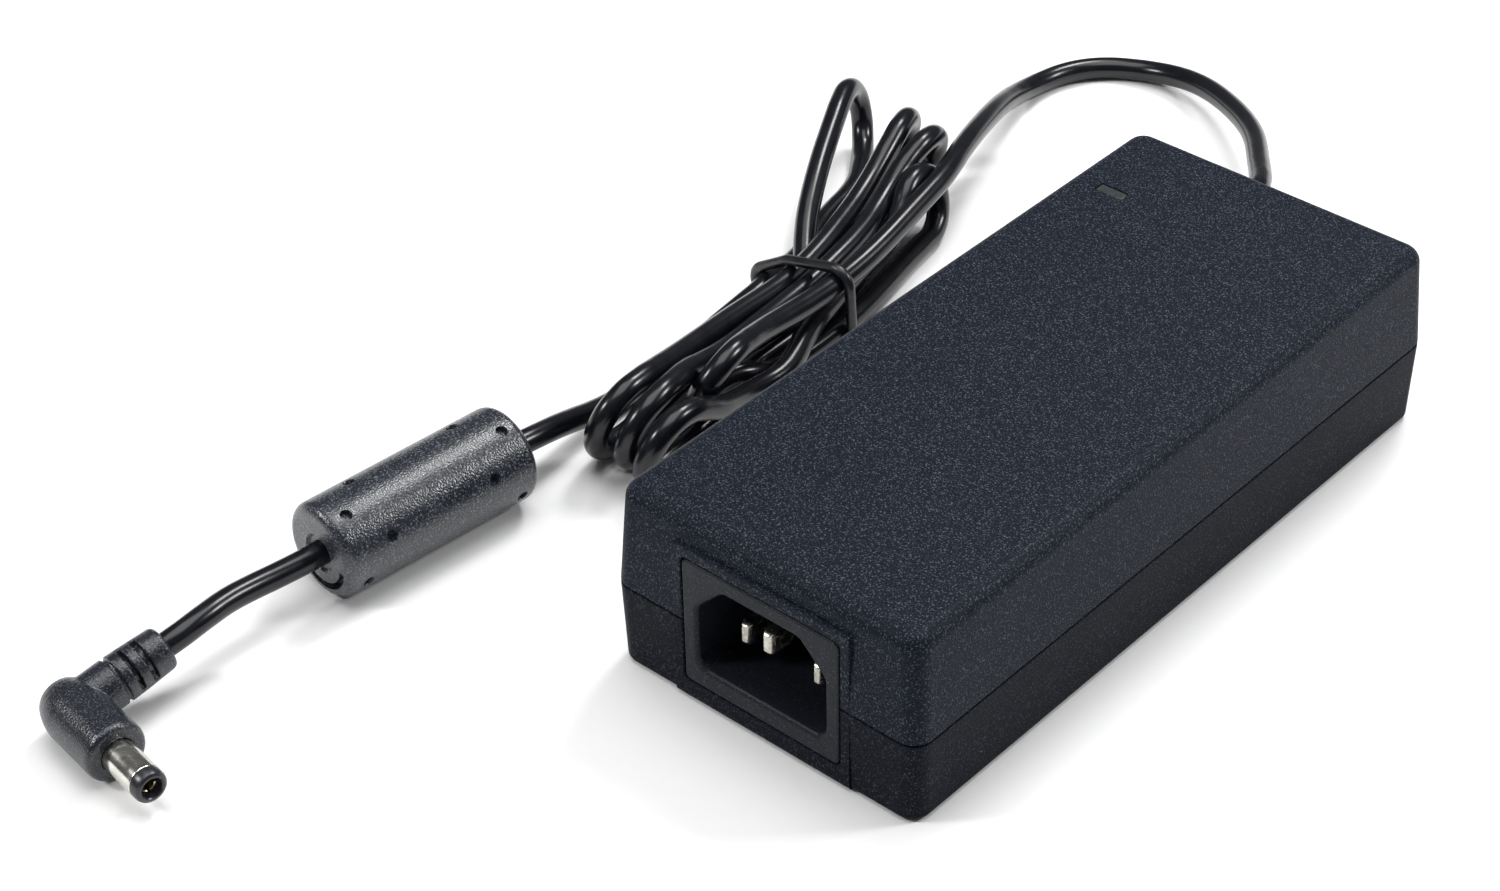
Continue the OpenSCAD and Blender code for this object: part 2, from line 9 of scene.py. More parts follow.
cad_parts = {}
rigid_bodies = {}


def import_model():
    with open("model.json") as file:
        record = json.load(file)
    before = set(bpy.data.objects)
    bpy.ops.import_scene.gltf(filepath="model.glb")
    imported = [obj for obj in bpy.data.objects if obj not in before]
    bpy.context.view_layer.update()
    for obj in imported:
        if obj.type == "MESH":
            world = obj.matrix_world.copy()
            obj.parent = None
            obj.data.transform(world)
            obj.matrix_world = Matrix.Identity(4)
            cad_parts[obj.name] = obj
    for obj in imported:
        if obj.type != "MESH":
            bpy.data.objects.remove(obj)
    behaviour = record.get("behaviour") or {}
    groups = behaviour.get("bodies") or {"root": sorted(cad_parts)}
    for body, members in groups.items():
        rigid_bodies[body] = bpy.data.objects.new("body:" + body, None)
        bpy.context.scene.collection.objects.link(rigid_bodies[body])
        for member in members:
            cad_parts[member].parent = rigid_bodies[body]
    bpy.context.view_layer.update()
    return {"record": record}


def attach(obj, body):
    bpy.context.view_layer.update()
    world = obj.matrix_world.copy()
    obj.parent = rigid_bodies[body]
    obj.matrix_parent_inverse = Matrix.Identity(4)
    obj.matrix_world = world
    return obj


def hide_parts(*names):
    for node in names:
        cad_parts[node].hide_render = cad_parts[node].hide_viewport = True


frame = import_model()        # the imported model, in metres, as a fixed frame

mm = 0.001
hair = 0.01               # how far off a plane an edge may be and still count as on it, in millimetres
weldReach = 2e-7          # corners nearer than this are one, in metres
yAxis, zAxis = Vector((0, 1, 0)), Vector((0, 0, 1))


def frameAt(point, along, up=zAxis):
    # local Z runs along, local X is up, so a turn of 90 degrees from up is local Y
    z = Vector(along).normalized()
    x = (Vector(up) - z * z.dot(Vector(up))).normalized()
    return Matrix.Translation(Vector(point) * mm) @ Matrix((x, z.cross(x), z)).transposed().to_4x4()


# ---- camera

lookFrom = {"lens": 77.75, "azimuth": 42.553, "elevation": 37.292, "roll": -1.424,
            "distance": 510.91, "target": (-35.83, -27.33, 15), "sensor": 36, "clip": (0.01, 20)}


def placeCamera(look):
    azimuth, elevation, roll = (radians(look[key]) for key in ("azimuth", "elevation", "roll"))
    back = Vector((sin(azimuth) * cos(elevation), -cos(azimuth) * cos(elevation), sin(elevation)))
    right = (-back).cross(zAxis).normalized()
    up = back.cross(right)
    side = right * cos(roll) + up * sin(roll)
    top = up * cos(roll) - right * sin(roll)
    data = bpy.data.cameras.new("camera")
    data.lens, data.sensor_width = look["lens"], look["sensor"]
    data.clip_start, data.clip_end = look["clip"]
    eye = bpy.data.objects.new("camera", data)
    bpy.context.collection.objects.link(eye)
    spot = (Vector(look["target"]) + back * look["distance"]) * mm
    eye.matrix_world = Matrix.Translation(spot) @ Matrix((side, top, back)).transposed().to_4x4()
    bpy.context.scene.camera = eye


placeCamera(lookFrom)
print("camera placed")

# ---- cord

cord = {"diameter": 4.1, "exit": (-17, 65.5, 15.1), "start": (-17, 77.3, 15.1),
        "ferrite": (-72.7, -65.6, 8.2), "ferriteTurn": -5.7, "ferriteHalf": 19,
        "plug": (-78.1, -130.6, 5), "plugTurn": -8.5, "plugRoll": 12,
        "foldTurn": 70, "foldCount": 7, "step": 2.4, "fineSteps": 8000, "everyOther": 2,
        "roundSteps": 10, "alongSteps": 5, "curveShare": 1.004}


def onAxis(point, turn, along):
    return Vector(point) + along * Vector((-sin(radians(turn)), cos(radians(turn)), 0))


def ferritePoint(along):
    return onAxis(cord["ferrite"], cord["ferriteTurn"], along)


def neckPoint(along):
    turn, roll = radians(cord["plugTurn"]), radians(cord["plugRoll"])
    return Vector(cord["plug"]) + along * Vector((-sin(turn) * cos(roll), cos(turn) * cos(roll), sin(roll)))


def foldPoints(tip, turn, way, lean, radius=7.0, low=2.1):
    # most of half a turn standing on edge; way is -1 at the near end and +1 at the far end
    rise = sqrt(radius ** 2 - lean ** 2)
    out = Vector((-sin(radians(turn)), cos(radians(turn)))) * way
    points = []
    reach, count = cord["foldTurn"], cord["foldCount"]
    for i in range(count):
        angle = radians(way * (2 * reach * i / (count - 1) - reach))
        spot = Vector(tip) - out * radius * (1 - cos(angle)) + Vector((lean * sin(angle), 0))
        points.append((spot.x, spot.y, low + rise * (1 + sin(angle))))
    return points


def cordRoute():
    # from the relief in an arc behind the casing, over the hank's far end to its first near fold
    route = [(-17, 79.5, 15.1), (-17, 83, 15.1), (-18, 87, 14.8), (-20.5, 91, 14), (-25, 97, 12.6),
             (-30, 104, 11), (-37, 111, 9.2), (-45, 117, 7.2), (-54, 122, 5.2), (-63, 124, 3.4),
             (-71, 122, 2.4), (-78, 116, 2.1), (-81, 107, 2.6), (-80, 98, 4.6), (-76.5, 88, 8),
             (-72, 77, 11), (-68, 67, 13), (-64.5, 57, 13.6), (-61.5, 44, 13), (-59.5, 32, 12),
             (-58.4, 20, 11.6), (-57.4, 8, 12.6), (-56.4, -2, 14.2)]
    # each row is a fold and the run that follows it
    folds = [
        (foldPoints((-55.8, -18), 0, -1, 2.2, 6.8, 3.0),
         [(-58.5, 0, 2.6), (-58.4, 12, 2.1), (-57.8, 20, 2.1), (-59.6, 32, 2.1), (-62.4, 44, 2.1)]),
        (foldPoints((-67, 57.5), 12, 1, -1.6, 6.2),
         [(-65.5, 46, 8.6), (-62.8, 32, 7.4), (-60, 20, 6.2), (-56.8, 8, 5), (-54, -6, 6)]),
        (foldPoints((-51.6, -34.5), 8, -1, 2.4),
         [(-56.5, -14, 2.1), (-60.6, 4, 2.1), (-61.8, 20, 2.1), (-66, 34, 2.1), (-70.8, 48, 2.1)]),
        (foldPoints((-75, 67), 14, 1, 1.6, 6.8),
         [(-69.6, 48, 11.2), (-66, 34, 10), (-64, 20, 9.2), (-62.4, 6, 9.6), (-59.8, -8, 11.6)]),
        (foldPoints((-57.2, -33.5), 3, -1, 2.0),
         [(-63, -14, 2.1), (-65.2, 4, 2.1), (-66.2, 20, 2.1), (-72, 34, 2.1), (-78.2, 50, 2.1)]),
        (foldPoints((-82.6, 68.5), 18, 1, 1.6, 6.8),
         [(-75.6, 50, 11.2), (-71, 34, 9.6), (-68.2, 20, 8.8), (-67, 6, 9.8), (-64.8, -8, 11.8)]),
        (foldPoints((-62.8, -34.5), 0, -1, 2.0),
         [(-66, -14, 2.1), (-68.8, 4, 2.1), (-70.2, 20, 2.2), (-75.5, 30, 5.4), (-80.3, 38.5, 9.2),
          (-85.5, 47.5, 12.2)]),
        # the splayed loop goes out high and comes back along the floor
        (foldPoints((-95.1, 70), 27, 1, -1.4, 6.8)[::-1],
         [(-84.5, 56, 2.1), (-82.5, 46, 2.1), (-78.8, 37, 2.1), (-75.6, 28, 3), (-73.2, 20, 5.4),
          (-73, 8, 3.6), (-73, -6, 2.1), (-72.6, -19, 2.4), (-71.8, -29, 4.8), (-70.8, -38, 7.6)]),
    ]
    for fold, run in folds:
        route += fold + run
    route += [ferritePoint(along) for along in (22.5, 19, 0, -19, -24)]
    route += [(-75.7, -96.5, 8.7), (-75.6, -103.3, 9.4)]
    route += [neckPoint(along) for along in (21.2, 16.6, 10)]
    return np.array([tuple(point) for point in route], float)


def evenSteps(points, step):
    # a natural cubic through the points, cut into equal steps
    chords = np.linalg.norm(np.diff(points, axis=0), axis=1)
    knots = np.concatenate([[0], np.cumsum(np.sqrt(chords))])
    gaps, count = np.diff(knots), len(points)
    system, sides = np.eye(count), np.zeros_like(points)
    for i in range(1, count - 1):
        system[i, i - 1:i + 2] = gaps[i - 1], 2 * (gaps[i - 1] + gaps[i]), gaps[i]
        sides[i] = 6 * ((points[i + 1] - points[i]) / gaps[i] - (points[i] - points[i - 1]) / gaps[i - 1])
    curving = np.linalg.solve(system, sides)
    at = np.linspace(0, knots[-1], cord["fineSteps"])
    k = np.clip(np.searchsorted(knots, at) - 1, 0, count - 2)
    gap = gaps[k][:, None]
    after = (knots[k + 1] - at)[:, None] / gap
    before = 1 - after
    dense = after * points[k] + before * points[k + 1] + (
        (after ** 3 - after) * curving[k] + (before ** 3 - before) * curving[k + 1]) * gap ** 2 / 6
    along = np.concatenate([[0], np.cumsum(np.linalg.norm(np.diff(dense, axis=0), axis=1))])
    even = np.linspace(0, along[-1], int(round(along[-1] / step)) + 1)
    return np.stack([np.interp(even, along, dense[:, c]) for c in range(3)], 1)


settling = {"rounds": 350, "sweeps": 3, "heldSteps": 3, "stiffness": 0.04, "hold": 0.03, "lastHold": 0.002,
            "sink": 0.004, "bend": 7.0, "bendReach": 2, "bendPush": 0.25, "bendShare": 0.9,
            "gap": 0.04, "apartFrom": 4.5, "apartShare": 1.3, "floorGap": 0.02, "smallest": 1e-6}


def chordsOf(span):
    # lengths, and the same kept off zero to divide by
    far = np.linalg.norm(span, axis=1)
    return far, np.maximum(far, settling["smallest"])


def settleCord(line):
    # lets the cord lie: it keeps its length, stiffens at its folds, and its turns push apart
    step, diameter, bend, rounds = cord["step"], cord["diameter"], settling["bend"], settling["rounds"]
    held, count = line.copy(), len(line)
    free = np.ones(count)
    free[:settling["heldSteps"]] = 0
    free[np.argmin(np.linalg.norm(line - np.array(ferritePoint(cord["ferriteHalf"])), axis=1)) - 1:] = 0
    free = free[:, None]
    one, other = np.triu_indices(count, int(round(settling["apartFrom"] * diameter / step)))
    apart, reach = diameter + settling["gap"], settling["bendReach"]
    arc = 2 * reach * step
    chord = 2 * bend * sin(min(arc / (2 * bend), pi / 2))
    for turn in range(rounds):
        bow = np.zeros_like(line)
        bow[2:-2] = line[:-4] - 4 * line[1:-3] + 6 * line[2:-2] - 4 * line[3:-1] + line[4:]
        line = line - settling["stiffness"] * bow * free
        line = line + (settling["hold"] * (1 - turn / rounds) + settling["lastHold"]) * (held - line) * free
        line[:, 2] -= settling["sink"] * free[:, 0]
        for _ in range(settling["sweeps"]):
            # folds open to their bend
            span = line[2 * reach:] - line[:-2 * reach]
            far, most = chordsOf(span)
            push = settling["bendPush"] * (np.maximum(chord - far, 0) / most)[:, None] * span
            shift = np.zeros_like(line)
            shift[2 * reach:] += push
            shift[:-2 * reach] -= push
            line = line + settling["bendShare"] * shift * free
            # turns that meet push apart
            gap = line[one] - line[other]
            near = (gap * gap).sum(1)
            close = near < apart ** 2
            if close.any():
                far = np.sqrt(near[close])
                push = (0.5 * (apart - far) / np.maximum(far, settling["smallest"]))[:, None] * gap[close]
                shift, met = np.zeros_like(line), np.zeros(count)
                np.add.at(shift, one[close], push)
                np.add.at(shift, other[close], -push)
                np.add.at(met, one[close], 1)
                np.add.at(met, other[close], 1)
                line = line + settling["apartShare"] * shift / np.maximum(met, 1)[:, None] * free
            # every step comes back to its length
            for first in (0, 1):
                left = np.arange(first, count - 1, 2)
                span = line[left + 1] - line[left]
                far, most = chordsOf(span)
                pull = (0.5 * (far - step) / most)[:, None] * span
                line[left] += pull * free[left]
                line[left + 1] -= pull * free[left + 1]
            line[:, 2] = np.maximum(line[:, 2], diameter / 2 + settling["floorGap"])
    return line


def drawCord(line):
    data = bpy.data.curves.new("cord", "CURVE")
    data.dimensions = "3D"
    data.bevel_depth, data.bevel_resolution = cord["diameter"] / 2 * mm, cord["roundSteps"]
    data.resolution_u, data.use_fill_caps = cord["alongSteps"], True
    spline = data.splines.new("BEZIER")
    spline.bezier_points.add(len(line) - 1)
    for knot, point in zip(spline.bezier_points, line):
        knot.co = Vector(point) * mm
        knot.handle_left_type = knot.handle_right_type = "AUTO"
    piece = bpy.data.objects.new("cord", data)
    bpy.context.collection.objects.link(piece)
    return piece


settled = settleCord(evenSteps(cordRoute(), cord["step"]))
knots = np.vstack([[cord["start"]], settled[::cord["everyOther"]]])
if len(settled) % cord["everyOther"] == 0:
    knots = np.vstack([knots, settled[-1:]])
cordPiece = drawCord(knots)

# ---- modelling helpers


def rest():
    if bpy.context.object and bpy.context.object.mode != "OBJECT":
        bpy.ops.object.mode_set(mode="OBJECT")
    bpy.ops.object.select_all(action="DESELECT")


def alone(piece):
    rest()
    piece.select_set(True)
    bpy.context.view_layer.objects.active = piece


def placed(piece, place=None):
    alone(piece)
    if place is not None:
        piece.matrix_world = place @ piece.matrix_world
    bpy.ops.object.transform_apply(location=True, rotation=True, scale=True)
    return piece


def addBox(name, low, high):
    # corners in millimetres
    rest()
    low, high = Vector(low) * mm, Vector(high) * mm
    bpy.ops.mesh.primitive_cube_add(size=1, location=(low + high) / 2, scale=high - low)
    piece = bpy.context.object
    piece.name = name
    return placed(piece)


def pick(piece, kind, test):
    # goes into edit mode with only the parts that pass the test selected
    alone(piece)
    bpy.ops.object.mode_set(mode="EDIT")
    bpy.ops.mesh.select_mode(type=kind)
    bpy.ops.mesh.select_all(action="DESELECT")
    form = bmesh.from_edit_mesh(piece.data)
    for part in {"VERT": form.verts, "EDGE": form.edges, "FACE": form.faces}[kind]:
        if test(part):
            part.select_set(True)
    form.select_flush_mode()
    bmesh.update_edit_mesh(piece.data)


def runs(way):
    # edges that run along a direction, leaning ones among them
    return lambda edge: abs((edge.verts[0].co - edge.verts[1].co).normalized().dot(way)) > 0.95


def faces(way):
    return lambda face: face.normal.dot(way) > 0.95


def level(height):
    # edges that lie flat at one height, in millimetres
    return lambda edge: all(abs(end.co.z - height * mm) < hair * mm for end in edge.verts)


def onFront(edge):
    # edges in the plane of the casing's inlet end
    return all(end.co.y < (hair - casing["length"] / 2) * mm for end in edge.verts)


def both(*tests):
    return lambda part: all(test(part) for test in tests)


def bevelEdges(piece, test, size, steps=4):
    pick(piece, "EDGE", test)
    bpy.ops.mesh.bevel(offset=size * mm, segments=steps, profile=0.5, affect="EDGES", clamp_overlap=True)
    rest()


def growEnd(piece, way, steps):
    # extrudes the end face that looks along way; each step is how far on and how much wider all round
    pick(piece, "FACE", faces(way))
    form = bmesh.from_edit_mesh(piece.data)
    corners = [corner.co for face in form.faces if face.select for corner in face.verts]
    low = Vector(min(co[i] for co in corners) for i in range(3))
    high = Vector(max(co[i] for co in corners) for i in range(3))
    middle, size = (low + high) / 2, high - low
    for on, wider in steps:
        bpy.ops.mesh.extrude_region_move(TRANSFORM_OT_translate={"value": way * on * mm})
        middle += way * on * mm
        scale = [(size[i] + 2 * wider * mm) / size[i] if size[i] > 1e-7 else 1 for i in range(3)]
        bpy.ops.transform.resize(value=scale, center_override=middle)
        size = Vector(size[i] * scale[i] for i in range(3))
    rest()


def useModifier(piece, kind, **settings):
    alone(piece)
    modifier = piece.modifiers.new(kind.lower(), kind)
    for key, value in settings.items():
        setattr(modifier, key, value)
    bpy.ops.object.modifier_apply(modifier=modifier.name)


def combine(piece, tool, way="DIFFERENCE"):
    useModifier(piece, "BOOLEAN", object=tool, operation=way, solver="EXACT")
    bpy.data.objects.remove(tool, do_unlink=True)


def tidyMesh(piece):
    pick(piece, "VERT", lambda vert: True)
    bpy.ops.mesh.remove_doubles(threshold=weldReach)
    bpy.ops.mesh.normals_make_consistent(inside=False)
    rest()


def turned(name, outline, place, sides=64, ring=False):
    # a form turned on local Z through (along, radius) stations; a ring's outline comes back to its start
    rest()
    along, radius = outline[0]
    bpy.ops.mesh.primitive_circle_add(vertices=sides, radius=radius * mm, location=(0, 0, along * mm),
                                      fill_type="NOTHING" if ring else "NGON")
    piece = bpy.context.object
    piece.name = name
    bpy.ops.object.mode_set(mode="EDIT")
    bpy.ops.mesh.select_all(action="SELECT")
    for on, wide in outline[1:] + ([outline[0]] if ring else []):
        move = {"value": (0, 0, (on - along) * mm)}
        if ring:
            bpy.ops.mesh.extrude_edges_move(TRANSFORM_OT_translate=move)
        else:
            bpy.ops.mesh.extrude_region_move(TRANSFORM_OT_translate=move)
        bpy.ops.transform.resize(value=(wide / radius, wide / radius, 1), center_override=(0, 0, on * mm))
        along, radius = on, wide
    placed(piece, place)
    tidyMesh(piece)
    return piece


def sector(name, inner, outer, low, high, start, sweep, place, steps=16):
    # a slice of a ring, spun from a flat face; in degrees, it starts at start and goes on clockwise by sweep
    rest()
    bpy.ops.mesh.primitive_plane_add(size=1, rotation=(pi / 2, 0, 0),
                                     location=((inner + outer) / 2 * mm, 0, (low + high) / 2 * mm))
    piece = bpy.context.object
    piece.name = name
    piece.scale = ((outer - inner) * mm, (high - low) * mm, 1)
    placed(piece, Matrix.Rotation(radians(start), 4, "Z"))
    pick(piece, "FACE", lambda face: True)
    bpy.ops.mesh.spin(steps=steps, angle=radians(sweep), center=(0, 0, 0), axis=(0, 0, 1))
    rest()
    placed(piece, place)
    tidyMesh(piece)
    return piece


def arcOut(centreAlong, centreRadius, radius, start, end, count=6):
    # outline stations round a quarter; angles in degrees from the turning axis' way
    return [(centreAlong + radius * cos(radians(start + (end - start) * i / count)),
             centreRadius + radius * sin(radians(start + (end - start) * i / count))) for i in range(count + 1)]


def finished(piece, smooth=38):
    alone(piece)
    bpy.ops.object.shade_smooth_by_angle(angle=radians(smooth))
    useModifier(piece, "WEIGHTED_NORMAL", keep_sharp=True, weight=80)
    return piece


def keep(piece, slotName, *nodes):
    # the piece goes with the object, stands for its CAD nodes and takes its slot's finish
    piece.data.materials.clear()
    piece.data.materials.append(finishes[slotName])
    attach(piece, "root")
    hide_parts(*nodes)


# ---- finishes


def noiseNode(tree, spot, size, detail):
    # size is a grain's width in millimetres
    node = tree.nodes.new("ShaderNodeTexNoise")
    node.inputs["Scale"].default_value = 1 / (size * mm)
    node.inputs["Detail"].default_value = detail
    tree.links.new(spot, node.inputs["Vector"])
    return node.outputs["Fac"]


def speckNode(tree, spot, gap):
    # how far each spot is from the nearest of scattered points, which are gap millimetres apart
    node = tree.nodes.new("ShaderNodeTexVoronoi")
    node.inputs["Scale"].default_value = 1 / (gap * mm)
    tree.links.new(spot, node.inputs["Vector"])
    return node.outputs["Distance"]


def rangeNode(tree, source, low, high, to, until):
    node = tree.nodes.new("ShaderNodeMapRange")
    for key, value in zip(("From Min", "From Max", "To Min", "To Max"), (low, high, to, until)):
        node.inputs[key].default_value = value
    tree.links.new(source, node.inputs["Value"])
    return node.outputs["Result"]


def blendNode(tree, share, first, second):
    node = tree.nodes.new("ShaderNodeMix")
    node.data_type = "RGBA"
    tree.links.new(share, node.inputs[0])
    for socket, colour in ((node.inputs[6], first), (node.inputs[7], second)):
        if isinstance(colour, bpy.types.NodeSocket):
            tree.links.new(colour, socket)
        else:
            socket.default_value = (*colour, 1)
    return node.outputs[2]


def bumpNode(tree, height, depth, strength, under=None):
    node = tree.nodes.new("ShaderNodeBump")
    node.inputs["Strength"].default_value = strength
    node.inputs["Distance"].default_value = depth * mm
    tree.links.new(height, node.inputs["Height"])
    if under is not None:
        tree.links.new(under, node.inputs["Normal"])
    return node.outputs["Normal"]


# what a look has where it doesn't say otherwise
usualLook = {"shader": {}, "detail": 2.0, "grainRange": (0.38, 0.64),
             "patch": 22, "patchDetail": 3.0, "patchRange": (0.3, 0.75), "patchShare": 0.35,
             "fleckAndGlintDetail": 1.0, "fleckAndGlintRange": (0.64, 0.74), "dustEdge": 0.6, "dustShare": 0.8,
             "sheenSize": 5, "sheenDetail": 4.0, "sheenRange": (0.3, 0.7),
             "bumpDetail": 2.0, "bumpStrength": 0.6, "waveDetail": 1.0, "waveStrength": 0.5}


def newFinish(name, given):
    # tone and lift are the grain's dark and light colours; patches, flecks and dust are laid over them; the bright
    # specks are partly the plastic's grain and partly painted glints that stand in for speckled highlights
    look = {**usualLook, "patchTone": given["lift"], "bumpSize": given["grain"], **given}
    material = bpy.data.materials.new(name)
    material.use_nodes = True
    tree = material.node_tree
    shader = tree.nodes["Principled BSDF"]
    for key, value in look["shader"].items():
        shader.inputs[key].default_value = value
    spot = tree.nodes.new("ShaderNodeTexCoord").outputs["Object"]
    grain = noiseNode(tree, spot, look["grain"], look["detail"])
    colour = blendNode(tree, rangeNode(tree, grain, *look["grainRange"], 0, 1), look["tone"], look["lift"])
    patches = noiseNode(tree, spot, look["patch"], look["patchDetail"])
    colour = blendNode(tree, rangeNode(tree, patches, *look["patchRange"], 0, look["patchShare"]), colour,
                       look["patchTone"])
    # bright specks in the colour: partly grain, partly painted glints for the speckled highlights that a low
    # specular level leaves out
    if "fleckAndGlint" in look:
        flecksAndGlints = noiseNode(tree, spot, look["fleckAndGlintSize"], look["fleckAndGlintDetail"])
        colour = blendNode(tree, rangeNode(tree, flecksAndGlints, *look["fleckAndGlintRange"], 0, 1), colour, look["fleckAndGlint"])
    if "dust" in look:
        size = look["dustSize"]
        specks = rangeNode(tree, speckNode(tree, spot, look["dustGap"]), size, size * look["dustEdge"],
                           0, look["dustShare"])
        colour = blendNode(tree, specks, colour, look["dust"])
    tree.links.new(colour, shader.inputs["Base Color"])
    sheen = noiseNode(tree, spot, look["sheenSize"], look["sheenDetail"])
    tree.links.new(rangeNode(tree, sheen, *look["sheenRange"], *look["roughness"]), shader.inputs["Roughness"])
    bump = bumpNode(tree, noiseNode(tree, spot, look["bumpSize"], look["bumpDetail"]), look["bump"],
                    look["bumpStrength"])
    if "wave" in look:
        bump = bumpNode(tree, noiseNode(tree, spot, look["waveSize"], look["waveDetail"]), look["wave"],
                        look["waveStrength"], bump)
    tree.links.new(bump, shader.inputs["Normal"])
    return material


